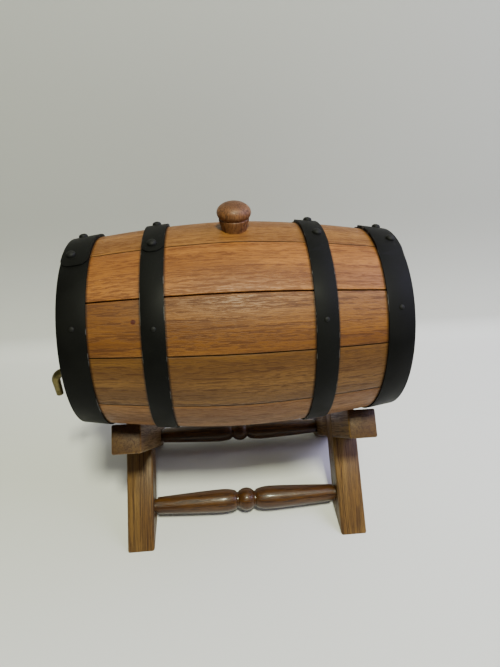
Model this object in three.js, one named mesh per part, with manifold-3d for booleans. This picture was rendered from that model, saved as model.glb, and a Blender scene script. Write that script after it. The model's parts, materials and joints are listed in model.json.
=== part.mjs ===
// A small oak cask lying on a wooden stand, with a brass tap in one head and a turned bung on top.
// Millimetres, +Z up. The cask's axis runs along X, its tap is at the -X end and the front is -Y.
// Angles around the cask are in degrees, counted from the top towards the front.

import * as THREE from 'three';
import { mergeVertices } from 'three/addons/utils/BufferGeometryUtils.js';
import Module from 'manifold-3d';

const wasm = await Module();
wasm.setup();

// ---- Driving dimensions -------------------------------------------------------------------------

const GAP = 0.3; // clearance left between two pieces that touch
const OVERCUT = 5; // how far a cutting tool reaches past what it cuts

// Cask
const AXIS_HEIGHT = 153.9; // of the cask's axis above the table
const HALF_LENGTH = 100;
const BILGE_RADIUS = 68; // outside radius at the middle
const END_DROP = 9.6; // how much smaller the radius is at the ends
const BULGE_POWER = 1.7; // shape of the stave's curve between middle and end
const STAVE_THICKNESS = 12;
const STAVE_STATIONS = 8; // straight stretches along a stave
const STAVE_STEPS = 3; // flat facets across a stave
const FIRST_JOINT = -16; // angle of the first joint between two staves
const STAVE_WIDTHS = [29.2, 29.5, 28.6, 29.7, 31, 31, 31, 31, 31, 31, 29, 28]; // degrees each
const JOINT_ANGLE = 0.38; // opening between two staves, in degrees

// Chime bevel and croze, the groove that holds a head
const CHIME_WALL = 6;
const CHIME_BEVEL = 7;
const CROZE_OUTER = 90.3;
const CROZE_INNER = 85.7;
const CROZE_DRAFT = 0.5;
const CROZE_BOTTOM_RADIUS = 51.6;

// Heads, each of three boards
const HEAD_OUTER = 92;
const HEAD_INNER = 84;
const HEAD_RADIUS = 51.1;
const HEAD_RIM_OUTER = 89.5;
const HEAD_RIM_INNER = 86.5;
const HEAD_SHOULDER = 47.6;
const HEAD_BEVEL = 4.5; // slope between the face and the rim that sits in the croze
const HEAD_DRAFT = 0.5; // slant of the rim's two sides
const BOARD_JOINT = 17; // distance of each board joint from the middle

// Hoops: distance of each edge from the middle of the cask, and the overlap where the strip closes
const CHIME_HOOP = [83.6, 100];
const QUARTER_HOOP = [41, 54];
const HOOP_THICKNESS = 0.8;
const HOOP_SEAT = 0.35; // clearance between hoop and staves
const HOOP_STEP = 7.5; // degrees between stations around a hoop
const LAP_RAMP = 12; // degrees over which the outer strip comes down past the inner end
const LAP_STEP = 0.5;

// Rivets and nails
const RIVET_HEAD_RADIUS = 2.6;
const RIVET_HEAD_HEIGHT = 1.9;
const RIVET_SHANK_RADIUS = 1.2;
const NAIL_HEAD_RADIUS = 1.5;
const NAIL_HEAD_HEIGHT = 0.6;
const NAIL_SHANK_RADIUS = 0.7;
const NAIL_LENGTH = 8;
const DOME = [[0.45, 0.88], [0.85, 0.5]]; // a domed head's heights and radii, as shares of its own

// Bung
const BUNG_TOP = 84.4; // heights above the cask's axis
const BUNG_CAP = 78.1;
const BUNG_BOTTOM = 53.5;
const BUNG_CAP_RADIUS = 10.2;
const BUNG_NECK_RADIUS = 9;
const BUNG_SEAT_RADIUS = 7.6;
const BUNG_TIP_RADIUS = 6.4;
const BUNG_TIP_BEVEL = 0.6;
const BUNG_GROOVE = 3.6; // distance of the turned groove below the cap
const BUNG_GROOVE_DEPTH = 0.5;
const BUNG_GROOVE_HALF = 1;
const BUNG_DOME_STEPS = 5;

// Tap
const TAP_DROP = 32.9; // height of the tap's bore below the cask's axis
const TAP_INNER_END = -78;
const TAP_SHANK_RADIUS = 5.3;
const TAP_SHANK_TAPER = 0.9;
const TAP_FLANGE_RADIUS = 8.2;
const TAP_FLANGE_WALL = 3;
const TAP_FLANGE_SLOPE = 3; // from the flange's rim down to the pipe
const TAP_PIPE_RADIUS = 3.6;
const TAP_VALVE_X = -109;
const TAP_BARREL_RADIUS = 6.2;
const TAP_BARREL_HALF = 9;
const TAP_BARREL_LIP = 0.8; // how far the two lips stand out, and their width
const TAP_BARREL_WAIST = 0.6; // how far the barrel draws in under its lower lip
const TAP_SPOUT_X = -128.4;
const TAP_SPOUT_END = -19.6; // below the bore
const TAP_SPOUT_RADIUS = 3;
const TAP_BEND_RADIUS = 9;
const TAP_BORE_RADIUS = 1.9;
const QUARTER_CIRCLE_PULL = 0.448; // a bend's control point from its corner, as a share of the radius
const TAP_SPOUT_STEPS = 14;
const TAP_SPOUT_SIDES = 12;
const TAP_BORE_STEPS = 24;
const TAP_BORE_SIDES = 8;
const TAP_PLUG_RADIUS = 4;
const TAP_PLUG_TAPER = 0.5;
const TAP_STUD_RADIUS = 2;
const TAP_STUD_END = 15; // below the bore
const TAP_NECK_BOTTOM_RADIUS = 3.2;
const TAP_NECK_TOP_RADIUS = 2.2;
const TAP_NECK_TOP = 14; // above the bore
const TAP_HANDLE_HEIGHT = 20;
const TAP_HANDLE_HALF = 13;
const TAP_HANDLE_RADIUS = 2.8; // at the two knobs and in the middle
const TAP_HANDLE_WAIST = 1.9;
const TAP_KNOB_LENGTH = 4;
const TAP_KNOB_BEVEL = 1.2;
const TAP_WASHER_RADIUS = 5.2;
const TAP_WASHER_WALL = 1;
const TAP_NUT_RADIUS = 4.4;
const TAP_NUT_HEIGHT = 3.2;
const TAP_WASHER_DROP = 0.5; // below the barrel

// Stand: two frames of crossed bars, joined by two turned stretchers
const STAND_OFFSET = 3.4; // the stand's middle from the cask's middle
const FRAME_SPACING = 80.3; // from the stand's middle to the middle of each frame
const CROSSING_HEIGHT = 50.6;
const BAR_WIDTH = 19.6;
const BAR_CHAMFER = 1.8;
const BAR_UPPER = 61; // from the crossing to the end of the upper arm
const BAR_LOWER = 85; // before the foot is cut level
const BAR_LEAN = Math.PI / 4;
const STRETCHER_HEIGHT = 13.9;
const TENON_RADIUS = 5;
const TENON_LENGTH = 12;
// Half of a stretcher, from its middle: a bead, a groove, a swell and a long taper.
const STRETCHER_PROFILE = [
  [0, 8.5],
  [3, 8.1],
  [5, 7.2],
  [6.2, 5.9],
  [7.4, 5.9],
  [10, 7.4],
  [14, 8.3],
  [19, 8.6],
  [28, 8.4],
  [42, 7.7],
  [56, 6.9],
];
const STRETCHER_END_RADIUS = 6.2;

const RING_SEGMENTS = 48;
const SMALL_SEGMENTS = 10;
const TURNED_SEGMENTS = 16;
const BUNG_SEGMENTS = 20;
const NUT_SIDES = 6;

// ---- Materials ----------------------------------------------------------------------------------

const finish = (color, roughness, metalness) => (
  new THREE.MeshStandardMaterial({ color, roughness, metalness })
);

const staveOak = finish(0xb98346, 0.6, 0);
const headOak = finish(0xb98a55, 0.65, 0);
const hoopSteel = finish(0x232420, 0.45, 0.3);
const rivetSteel = finish(0x1b1c1a, 0.4, 0.3);
const bungWood = finish(0x9b6a3c, 0.55, 0);
const brass = finish(0x7c7440, 0.4, 1);
const standWood = finish(0x7a5230, 0.4, 0);
const turnedWood = finish(0x84552c, 0.25, 0);

// ---- Solids -------------------------------------------------------------------------------------

// Joins shared vertices, drops empty triangles and turns the faces outwards.
function weld(geometry) {
  const bare = new THREE.BufferGeometry();
  bare.setAttribute('position', geometry.attributes.position.clone());
  bare.setIndex(geometry.index);
  const welded = mergeVertices(bare, 1e-3);
  const index = welded.index.array;
  const triangles = [];
  for (let i = 0; i < index.length; i += 3) {
    const [a, b, c] = [index[i], index[i + 1], index[i + 2]];
    if (a !== b && b !== c && c !== a) triangles.push([a, b, c]);
  }
  const inward = signedVolume(welded.attributes.position, triangles) < 0;
  welded.setIndex(triangles.flatMap(([a, b, c]) => (inward ? [a, c, b] : [a, b, c])));
  return welded;
}

function signedVolume(position, triangles) {
  const corner = (i) => new THREE.Vector3().fromBufferAttribute(position, i);
  return triangles.reduce((sum, [a, b, c]) => sum + corner(a).dot(corner(b).cross(corner(c))) / 6, 0);
}

function toSolid(geometry) {
  const welded = weld(geometry);
  const vertProperties = new Float32Array(welded.attributes.position.array);
  const triVerts = new Uint32Array(welded.index.array);
  return new wasm.Manifold(new wasm.Mesh({ numProp: 3, vertProperties, triVerts }));
}

function toGeometry(solid) {
  const { vertProperties, triVerts } = solid.getMesh();
  const geometry = new THREE.BufferGeometry();
  geometry.setAttribute('position', new THREE.BufferAttribute(vertProperties, 3));
  geometry.setIndex(new THREE.BufferAttribute(triVerts, 1));
  return geometry;
}

function cut(geometry, ...tools) {
  return toGeometry(tools.reduce((solid, tool) => solid.subtract(toSolid(tool)), toSolid(geometry)));
}

function join(geometry, ...others) {
  return toGeometry(others.reduce((solid, other) => solid.add(toSolid(other)), toSolid(geometry)));
}

function common(geometry, other) {
  return toGeometry(toSolid(geometry).intersect(toSolid(other)));
}

// A solid of revolution from [distance along the axis, radius] pairs. It stands on +Z.
function turned(profile, segments) {
  const points = profile.map(([along, radius]) => new THREE.Vector2(radius, along));
  return new THREE.LatheGeometry(points, segments).rotateX(Math.PI / 2);
}

// The same, lying along +X.
function turnedAlongX(profile, segments) {
  return turned(profile, segments).rotateY(Math.PI / 2);
}

function rod(radius, from, to, segments) {
  return turned([[from, 0], [from, radius], [to, radius], [to, 0]], segments);
}

function block(x, y, z) {
  const size = [x, y, z].map(([low, high]) => high - low);
  const centre = [x, y, z].map(([low, high]) => (low + high) / 2);
  return new THREE.BoxGeometry(...size).translate(...centre);
}

// A ring of closed outlines, each turned about the X axis by its own angle. Outline points are
// [x, radius] pairs. An open sweep is closed by its first and last outlines.
function swept(sections, closesOnItself) {
  const count = sections[0].outline.length;
  const vertices = sections.flatMap(({ angle, outline }) => {
    const turn = THREE.MathUtils.degToRad(angle);
    return outline.flatMap(([x, radius]) => [x, -radius * Math.sin(turn), radius * Math.cos(turn)]);
  });
  const index = [];
  const spans = closesOnItself ? sections.length : sections.length - 1;
  for (let i = 0; i < spans; i += 1) {
    const near = i * count;
    const far = ((i + 1) % sections.length) * count;
    for (let j = 0; j < count; j += 1) {
      const next = (j + 1) % count;
      index.push(near + j, far + j, far + next, near + j, far + next, near + next);
    }
  }
  if (!closesOnItself) {
    const flat = sections[0].outline.map(([x, radius]) => new THREE.Vector2(x, radius));
    const last = (sections.length - 1) * count;
    for (const [a, b, c] of THREE.ShapeUtils.triangulateShape(flat, [])) {
      const facesBack = crossOf(flat[a], flat[b], flat[c]) * areaOf(flat) > 0;
      const [p, q, r] = facesBack ? [a, b, c] : [a, c, b];
      index.push(p, q, r, last + p, last + r, last + q);
    }
  }
  const geometry = new THREE.BufferGeometry();
  geometry.setAttribute('position', new THREE.Float32BufferAttribute(vertices, 3));
  geometry.setIndex(index);
  return weld(geometry);
}

function crossOf(a, b, c) {
  return (b.x - a.x) * (c.y - a.y) - (b.y - a.y) * (c.x - a.x);
}

function areaOf(flat) {
  return THREE.ShapeUtils.area(flat);
}

// ---- Cask shape ---------------------------------------------------------------------------------

function staveRadius(x) {
  return BILGE_RADIUS - END_DROP * Math.abs(x / HALF_LENGTH) ** BULGE_POWER;
}

function insideRadius(x) {
  return staveRadius(x) - STAVE_THICKNESS;
}

function staveSlope(x) {
  return (staveRadius(x + 1) - staveRadius(x - 1)) / 2;
}

// Puts a piece made on +Z at the cask's middle onto its surface, square to it.
function onCask(geometry, x, radius, angle) {
  geometry.rotateY(-Math.atan(staveSlope(x)));
  geometry.translate(x, 0, radius);
  return geometry.rotateX(THREE.MathUtils.degToRad(angle));
}

// ---- Staves -------------------------------------------------------------------------------------

function staveOutline() {
  const pitch = (2 * HALF_LENGTH) / STAVE_STATIONS;
  const outside = [];
  const inside = [];
  for (let i = 0; i <= STAVE_STATIONS; i += 1) {
    const x = -HALF_LENGTH + i * pitch;
    outside.push([x, staveRadius(x)]);
    if (Math.abs(x) < CROZE_INNER) inside.unshift([x, insideRadius(x)]);
  }
  const rightEnd = [
    [HALF_LENGTH, staveRadius(HALF_LENGTH) - CHIME_WALL],
    [HALF_LENGTH - CHIME_BEVEL, insideRadius(HALF_LENGTH - CHIME_BEVEL)],
    [CROZE_OUTER, insideRadius(CROZE_OUTER)],
    [CROZE_OUTER - CROZE_DRAFT, CROZE_BOTTOM_RADIUS],
    [CROZE_INNER + CROZE_DRAFT, CROZE_BOTTOM_RADIUS],
    [CROZE_INNER, insideRadius(CROZE_INNER)],
  ];
  const leftEnd = rightEnd.map(([x, radius]) => [-x, radius]).reverse();
  return [...outside, ...rightEnd, ...inside, ...leftEnd];
}

function stave(from, to) {
  const outline = staveOutline();
  const sections = [];
  for (let i = 0; i <= STAVE_STEPS; i += 1) {
    const share = i / STAVE_STEPS;
    sections.push({ angle: THREE.MathUtils.lerp(from, to, share), outline });
  }
  return swept(sections, false);
}

// ---- Heads --------------------------------------------------------------------------------------

function headDisc() {
  const profile = [
    [HEAD_INNER, 0],
    [HEAD_INNER, HEAD_SHOULDER - HEAD_BEVEL],
    [HEAD_RIM_INNER - HEAD_DRAFT, HEAD_SHOULDER],
    [HEAD_RIM_INNER, HEAD_RADIUS],
    [HEAD_RIM_OUTER, HEAD_RADIUS],
    [HEAD_RIM_OUTER + HEAD_DRAFT, HEAD_SHOULDER],
    [HEAD_OUTER, HEAD_SHOULDER - HEAD_BEVEL],
    [HEAD_OUTER, 0],
  ];
  return turnedAlongX(profile, RING_SEGMENTS);
}

function headBoard(place) {
  const beyond = HEAD_RADIUS + OVERCUT;
  const edges = [-beyond, -BOARD_JOINT, BOARD_JOINT, beyond];
  const across = [edges[place] + GAP / 2, edges[place + 1] - GAP / 2];
  const reach = [-beyond, beyond];
  return common(headDisc(), block([0, HALF_LENGTH], across, reach));
}

// ---- Hoops and their fasteners ------------------------------------------------------------------

function hoopInside(x) {
  return staveRadius(x) + HOOP_SEAT;
}

// One strip closed on itself. It is double from the lap's cut edge to the lap's end, and then the
// outer layer comes down over a short ramp.
function hoop([low, high], lapEdge, lapEnd) {
  const turn = Math.sign(lapEnd - lapEdge);
  const section = (angle, layers) => {
    const wall = HOOP_THICKNESS * layers;
    const outline = [
      [low, hoopInside(low)],
      [high, hoopInside(high)],
      [high, hoopInside(high) + wall],
      [low, hoopInside(low) + wall],
    ];
    return { angle, outline };
  };
  const lapSteps = Math.ceil(Math.abs(lapEnd - lapEdge) / HOOP_STEP);
  const sections = [];
  for (let i = 0; i <= lapSteps; i += 1) {
    sections.push(section(THREE.MathUtils.lerp(lapEdge, lapEnd, i / lapSteps), 2));
  }
  const rampEnd = lapEnd + turn * LAP_RAMP;
  sections.push(section((lapEnd + rampEnd) / 2, 1.5));
  const last = lapEdge + turn * (360 - LAP_STEP);
  const steps = Math.ceil(Math.abs(last - rampEnd) / HOOP_STEP);
  for (let i = 0; i <= steps; i += 1) {
    sections.push(section(THREE.MathUtils.lerp(rampEnd, last, i / steps), 1));
  }
  return swept(sections, true);
}

function domedPin(headRadius, headHeight, shankRadius, shankLength) {
  const profile = [
    [-shankLength, 0],
    [-shankLength, shankRadius],
    [GAP, shankRadius],
    [GAP, headRadius],
    ...DOME.map(([height, radius]) => [GAP + headHeight * height, headRadius * radius]),
    [GAP + headHeight, 0],
  ];
  return turned(profile, SMALL_SEGMENTS);
}

function rivetPin(x, angle) {
  const depth = 2 * HOOP_THICKNESS;
  const pin = domedPin(RIVET_HEAD_RADIUS, RIVET_HEAD_HEIGHT, RIVET_SHANK_RADIUS, depth);
  return onCask(pin, x, hoopInside(x) + depth, angle);
}

function nailPin(x, angle) {
  const pin = domedPin(NAIL_HEAD_RADIUS, NAIL_HEAD_HEIGHT, NAIL_SHANK_RADIUS, NAIL_LENGTH);
  return onCask(pin, x, hoopInside(x) + HOOP_THICKNESS, angle);
}

function fastenerHole(x, angle, shankRadius, depth) {
  const drill = rod(shankRadius + GAP, -depth, OVERCUT, SMALL_SEGMENTS);
  return onCask(drill, x, staveRadius(x) + HOOP_SEAT, angle);
}

// ---- Bung ---------------------------------------------------------------------------------------

function bung() {
  const profile = [
    [BUNG_BOTTOM, 0],
    [BUNG_BOTTOM, BUNG_TIP_RADIUS - BUNG_TIP_BEVEL],
    [BUNG_BOTTOM + BUNG_TIP_BEVEL, BUNG_TIP_RADIUS],
    [BILGE_RADIUS, BUNG_SEAT_RADIUS],
    [BUNG_CAP - BUNG_GROOVE - BUNG_GROOVE_HALF, BUNG_NECK_RADIUS],
    [BUNG_CAP - BUNG_GROOVE, BUNG_NECK_RADIUS - BUNG_GROOVE_DEPTH],
    [BUNG_CAP - BUNG_GROOVE + BUNG_GROOVE_HALF, BUNG_NECK_RADIUS],
  ];
  for (let i = 0; i < BUNG_DOME_STEPS; i += 1) {
    const turn = ((i / BUNG_DOME_STEPS) * Math.PI) / 2;
    const height = BUNG_CAP + (BUNG_TOP - BUNG_CAP) * Math.sin(turn);
    profile.push([height, BUNG_CAP_RADIUS * Math.cos(turn)]);
  }
  profile.push([BUNG_TOP, 0]);
  return turned(profile, BUNG_SEGMENTS);
}

// The bung hole follows the bung's taper.
function bungHole() {
  const low = BUNG_BOTTOM - OVERCUT;
  const high = BILGE_RADIUS + OVERCUT;
  const taper = (BUNG_SEAT_RADIUS - BUNG_TIP_RADIUS) / (BILGE_RADIUS - BUNG_BOTTOM);
  const lowRadius = BUNG_TIP_RADIUS + GAP + taper * (low - BUNG_BOTTOM);
  const highRadius = BUNG_SEAT_RADIUS + GAP + taper * (high - BILGE_RADIUS);
  return turned([[low, 0], [low, lowRadius], [high, highRadius], [high, 0]], BUNG_SEGMENTS);
}

// ---- Tap ----------------------------------------------------------------------------------------
// Made with its bore on the X axis, then lowered to its place in the head.

// Out along -X, round a bend and down.
function tapRoute(startX, endZ) {
  const bendX = TAP_SPOUT_X + TAP_BEND_RADIUS;
  const reach = TAP_BEND_RADIUS * QUARTER_CIRCLE_PULL;
  const route = new THREE.CurvePath();
  const start = new THREE.Vector3(startX, 0, 0);
  const bendStart = new THREE.Vector3(bendX, 0, 0);
  const bendEnd = new THREE.Vector3(TAP_SPOUT_X, 0, -TAP_BEND_RADIUS);
  const nearCorner = new THREE.Vector3(TAP_SPOUT_X + reach, 0, 0);
  const pastCorner = new THREE.Vector3(TAP_SPOUT_X, 0, -reach);
  route.add(new THREE.LineCurve3(start, bendStart));
  route.add(new THREE.CubicBezierCurve3(bendStart, nearCorner, pastCorner, bendEnd));
  route.add(new THREE.LineCurve3(bendEnd, new THREE.Vector3(TAP_SPOUT_X, 0, endZ)));
  return route;
}

function tubeAlong(route, radius, steps, sides) {
  const circle = new THREE.Shape();
  for (let i = 0; i < sides; i += 1) {
    const turn = (i / sides) * 2 * Math.PI;
    const point = [radius * Math.cos(turn), radius * Math.sin(turn)];
    if (i === 0) circle.moveTo(...point);
    else circle.lineTo(...point);
  }
  return new THREE.ExtrudeGeometry(circle, { steps, extrudePath: route, bevelEnabled: false });
}

function tapBody() {
  const shank = turnedAlongX(
    [
      [-TAP_VALVE_X, 0],
      [-TAP_VALVE_X, TAP_PIPE_RADIUS],
      [HEAD_OUTER + TAP_FLANGE_WALL + TAP_FLANGE_SLOPE, TAP_PIPE_RADIUS],
      [HEAD_OUTER + TAP_FLANGE_WALL, TAP_FLANGE_RADIUS],
      [HEAD_OUTER + GAP, TAP_FLANGE_RADIUS],
      [HEAD_OUTER + GAP, TAP_SHANK_RADIUS],
      [HEAD_INNER, TAP_SHANK_RADIUS],
      [-TAP_INNER_END, TAP_SHANK_RADIUS - TAP_SHANK_TAPER],
      [-TAP_INNER_END, 0],
    ],
    TURNED_SEGMENTS,
  ).rotateZ(Math.PI);
  const barrel = turned(
    [
      [-TAP_BARREL_HALF, 0],
      [-TAP_BARREL_HALF, TAP_BARREL_RADIUS - TAP_BARREL_WAIST],
      [-TAP_BARREL_HALF + TAP_BARREL_LIP, TAP_BARREL_RADIUS],
      [-TAP_BARREL_HALF + 3 * TAP_BARREL_LIP, TAP_BARREL_RADIUS - TAP_BARREL_WAIST],
      [TAP_BARREL_HALF - 3 * TAP_BARREL_LIP, TAP_BARREL_RADIUS],
      [TAP_BARREL_HALF - TAP_BARREL_LIP, TAP_BARREL_RADIUS + TAP_BARREL_LIP],
      [TAP_BARREL_HALF, TAP_BARREL_RADIUS],
      [TAP_BARREL_HALF, 0],
    ],
    TURNED_SEGMENTS,
  ).translate(TAP_VALVE_X, 0, 0);
  const spoutRoute = tapRoute(TAP_VALVE_X, TAP_SPOUT_END);
  const spout = tubeAlong(spoutRoute, TAP_SPOUT_RADIUS, TAP_SPOUT_STEPS, TAP_SPOUT_SIDES);
  const boreRoute = tapRoute(TAP_INNER_END + OVERCUT, TAP_SPOUT_END - OVERCUT);
  const bore = tubeAlong(boreRoute, TAP_BORE_RADIUS, TAP_BORE_STEPS, TAP_BORE_SIDES);
  return cut(join(shank, barrel, spout), bore, plugCone(GAP, 2)).translate(0, 0, -TAP_DROP);
}

// The tapered plug, or with a margin the seat that it turns in.
function plugCone(margin, overrun) {
  const half = TAP_BARREL_HALF + overrun;
  const taper = TAP_PLUG_TAPER / (2 * TAP_BARREL_HALF);
  const profile = [
    [-half, 0],
    [-half, TAP_PLUG_RADIUS + margin - taper * half],
    [half, TAP_PLUG_RADIUS + margin + taper * half],
    [half, 0],
  ];
  return turned(profile, TURNED_SEGMENTS).translate(TAP_VALVE_X, 0, 0);
}

function tapPlug() {
  const stem = turned(
    [
      [-TAP_STUD_END, 0],
      [-TAP_STUD_END, TAP_STUD_RADIUS],
      [0, TAP_STUD_RADIUS],
      [TAP_BARREL_HALF, TAP_NECK_BOTTOM_RADIUS],
      [TAP_NECK_TOP, TAP_NECK_TOP_RADIUS],
      [TAP_HANDLE_HEIGHT, TAP_HANDLE_RADIUS],
      [TAP_HANDLE_HEIGHT, 0],
    ],
    SMALL_SEGMENTS,
  ).translate(TAP_VALVE_X, 0, 0);
  const handle = turned(
    [
      [-TAP_HANDLE_HALF, 0],
      [-TAP_HANDLE_HALF, TAP_HANDLE_RADIUS - TAP_KNOB_BEVEL],
      [-TAP_HANDLE_HALF + TAP_KNOB_BEVEL, TAP_HANDLE_RADIUS],
      [-TAP_HANDLE_HALF + TAP_KNOB_LENGTH, TAP_HANDLE_RADIUS],
      [-TAP_KNOB_LENGTH, TAP_HANDLE_WAIST],
      [0, TAP_HANDLE_RADIUS],
      [TAP_KNOB_LENGTH, TAP_HANDLE_WAIST],
      [TAP_HANDLE_HALF - TAP_KNOB_LENGTH, TAP_HANDLE_RADIUS],
      [TAP_HANDLE_HALF - TAP_KNOB_BEVEL, TAP_HANDLE_RADIUS],
      [TAP_HANDLE_HALF, TAP_HANDLE_RADIUS - TAP_KNOB_BEVEL],
      [TAP_HANDLE_HALF, 0],
    ],
    SMALL_SEGMENTS,
  )
    .rotateX(Math.PI / 2)
    .translate(TAP_VALVE_X, 0, TAP_HANDLE_HEIGHT);
  const through = TAP_PLUG_RADIUS + OVERCUT;
  const waterway = rod(TAP_BORE_RADIUS, -through, through, TAP_BORE_SIDES)
    .rotateX(Math.PI / 2)
    .translate(TAP_VALVE_X, 0, 0);
  return cut(join(plugCone(0, 0.2), stem, handle), waterway).translate(0, 0, -TAP_DROP);
}

function ringAt(sides, outerRadius, low, high) {
  const outer = rod(outerRadius, low, high, sides);
  const hole = rod(TAP_STUD_RADIUS + GAP, low - OVERCUT, high + OVERCUT, SMALL_SEGMENTS);
  return cut(outer, hole).translate(TAP_VALVE_X, 0, -TAP_DROP);
}

function tapWasher() {
  const top = -TAP_BARREL_HALF - TAP_WASHER_DROP;
  return ringAt(TURNED_SEGMENTS, TAP_WASHER_RADIUS, top - TAP_WASHER_WALL, top);
}

function tapNut() {
  const top = -TAP_BARREL_HALF - TAP_WASHER_DROP - TAP_WASHER_WALL - GAP;
  return ringAt(NUT_SIDES, TAP_NUT_RADIUS, top - TAP_NUT_HEIGHT, top);
}

// ---- Stand --------------------------------------------------------------------------------------

// One bar of a crossed frame. It leans back (+1) or forward (-1) from foot to top, its foot is cut
// level and it is half-lapped over its partner: each bar gives up the half on its own side.
function bar(frameX, lean) {
  const half = BAR_WIDTH / 2;
  const flat = half - BAR_CHAMFER;
  const corners = [
    [half, flat], [flat, half], [-flat, half], [-half, flat],
    [-half, -flat], [-flat, -half], [flat, -half], [half, -flat],
  ];
  const section = new THREE.Shape(corners.map(([x, y]) => new THREE.Vector2(x, y)));
  const depth = BAR_LOWER + BAR_UPPER;
  const plain = new THREE.ExtrudeGeometry(section, { depth, bevelEnabled: false });
  plain.translate(0, 0, -BAR_LOWER);
  const lapSide = lean > 0 ? [-GAP / 2, BAR_WIDTH] : [-BAR_WIDTH, GAP / 2];
  const lapLength = [-half - GAP, half + GAP];
  const lap = block(lapSide, [-BAR_WIDTH, BAR_WIDTH], lapLength);
  for (const piece of [plain, lap]) {
    piece.rotateX(-lean * BAR_LEAN);
    piece.translate(frameX, 0, CROSSING_HEIGHT);
  }
  const reach = [-BAR_LOWER - BAR_UPPER, BAR_LOWER + BAR_UPPER];
  const belowTable = block([frameX - BAR_WIDTH, frameX + BAR_WIDTH], reach, [-BAR_LOWER, 0]);
  const innerFace = frameX - Math.sign(frameX) * half;
  const bottom = innerFace + Math.sign(frameX) * (TENON_LENGTH + GAP);
  const mouth = innerFace - Math.sign(frameX) * GAP;
  const ends = [Math.min(mouth, bottom), Math.max(mouth, bottom)];
  const mortise = rod(TENON_RADIUS + GAP, ...ends, TURNED_SEGMENTS)
    .rotateY(Math.PI / 2)
    .translate(0, -lean * stretcherY(), STRETCHER_HEIGHT);
  return cut(plain, lap, belowTable, mortise);
}

// The stretchers run along the middle lines of the lower arms.
function stretcherY() {
  return (CROSSING_HEIGHT - STRETCHER_HEIGHT) / Math.tan(BAR_LEAN);
}

function stretcher() {
  const shoulder = FRAME_SPACING - BAR_WIDTH / 2 - GAP;
  const half = [
    ...STRETCHER_PROFILE,
    [shoulder, STRETCHER_END_RADIUS],
    [shoulder, TENON_RADIUS],
    [shoulder + TENON_LENGTH, TENON_RADIUS],
    [shoulder + TENON_LENGTH, 0],
  ];
  const mirrored = half.slice(1).map(([x, radius]) => [-x, radius]).reverse();
  return turnedAlongX([...mirrored, ...half], TURNED_SEGMENTS);
}

// ---- Assembly -----------------------------------------------------------------------------------

const cask = new THREE.Group();
cask.position.z = AXIS_HEIGHT;
const stand = new THREE.Group();
stand.position.x = STAND_OFFSET;
const object = new THREE.Group();
object.add(cask, stand);

function place(parent, name, geometry, material) {
  const piece = new THREE.Mesh(geometry, material);
  piece.name = name;
  parent.add(piece);
}

// Each hoop: its edges, the angles of its lap, where its two rivets are along the cask and around
// it, and the same for its nail. The laps of the two ends face opposite ways round.
const HOOPS = [
  {
    name: 'left_chime',
    edges: [-CHIME_HOOP[1], -CHIME_HOOP[0]],
    lap: [20, -28],
    rivets: { x: -94.5, angles: [11, -20] },
    nail: { x: -91.5, angle: 56 },
  },
  {
    name: 'left_quarter',
    edges: [-QUARTER_HOOP[1], -QUARTER_HOOP[0]],
    lap: [17, -28],
    rivets: { x: -48, angles: [11, -20] },
    nail: { x: -47.2, angle: 57.9 },
  },
  {
    name: 'right_quarter',
    edges: QUARTER_HOOP,
    lap: [-27, 14],
    rivets: { x: 49, angles: [6, -19] },
    nail: { x: 47, angle: 57.2 },
  },
  {
    name: 'right_chime',
    edges: CHIME_HOOP,
    lap: [-27, 14],
    rivets: { x: 95, angles: [6, -19] },
    nail: { x: 92, angle: 52.5 },
  },
];

function addStaves() {
  let from = FIRST_JOINT;
  STAVE_WIDTHS.forEach((width, i) => {
    const to = from + width;
    let geometry = stave(from + JOINT_ANGLE / 2, to - JOINT_ANGLE / 2);
    if (i === 0) geometry = cut(geometry, bungHole());
    const nailed = HOOPS.filter(({ nail }) => nail.angle > from && nail.angle < to);
    const drills = nailed.map(({ nail: { x, angle } }) => (
      fastenerHole(x, angle, NAIL_SHANK_RADIUS, NAIL_LENGTH)
    ));
    if (drills.length > 0) geometry = cut(geometry, ...drills);
    place(cask, `stave_${String(i + 1).padStart(2, '0')}`, geometry, staveOak);
    from = to;
  });
}

function addHeads() {
  const reach = [HEAD_INNER - OVERCUT, HEAD_OUTER + OVERCUT];
  const tapHole = rod(TAP_SHANK_RADIUS + GAP, ...reach, TURNED_SEGMENTS)
    .rotateY(Math.PI / 2)
    .translate(0, 0, -TAP_DROP);
  ['front', 'middle', 'back'].forEach((side, board) => {
    const middle = side === 'middle';
    const leftBoard = middle ? cut(headBoard(board), tapHole) : headBoard(board);
    place(cask, `left_head_${side}_board`, weld(leftBoard.scale(-1, 1, 1)), headOak);
    place(cask, `right_head_${side}_board`, headBoard(board), headOak);
  });
}

function addHoops() {
  HOOPS.forEach(({ name, edges, lap, rivets, nail }) => {
    const { x, angles } = rivets;
    const rivetHoles = angles.map((angle) => fastenerHole(x, angle, RIVET_SHANK_RADIUS, OVERCUT));
    const nailHole = fastenerHole(nail.x, nail.angle, NAIL_SHANK_RADIUS, OVERCUT);
    place(cask, `${name}_hoop`, cut(hoop(edges, ...lap), ...rivetHoles, nailHole), hoopSteel);
    place(cask, `${name}_front_rivet`, rivetPin(x, angles[0]), rivetSteel);
    place(cask, `${name}_back_rivet`, rivetPin(x, angles[1]), rivetSteel);
    place(cask, `${name}_nail`, nailPin(nail.x, nail.angle), rivetSteel);
  });
}

function addTap() {
  place(cask, 'tap_body', tapBody(), brass);
  place(cask, 'tap_plug', tapPlug(), brass);
  place(cask, 'tap_washer', tapWasher(), brass);
  place(cask, 'tap_nut', tapNut(), brass);
}

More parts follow.
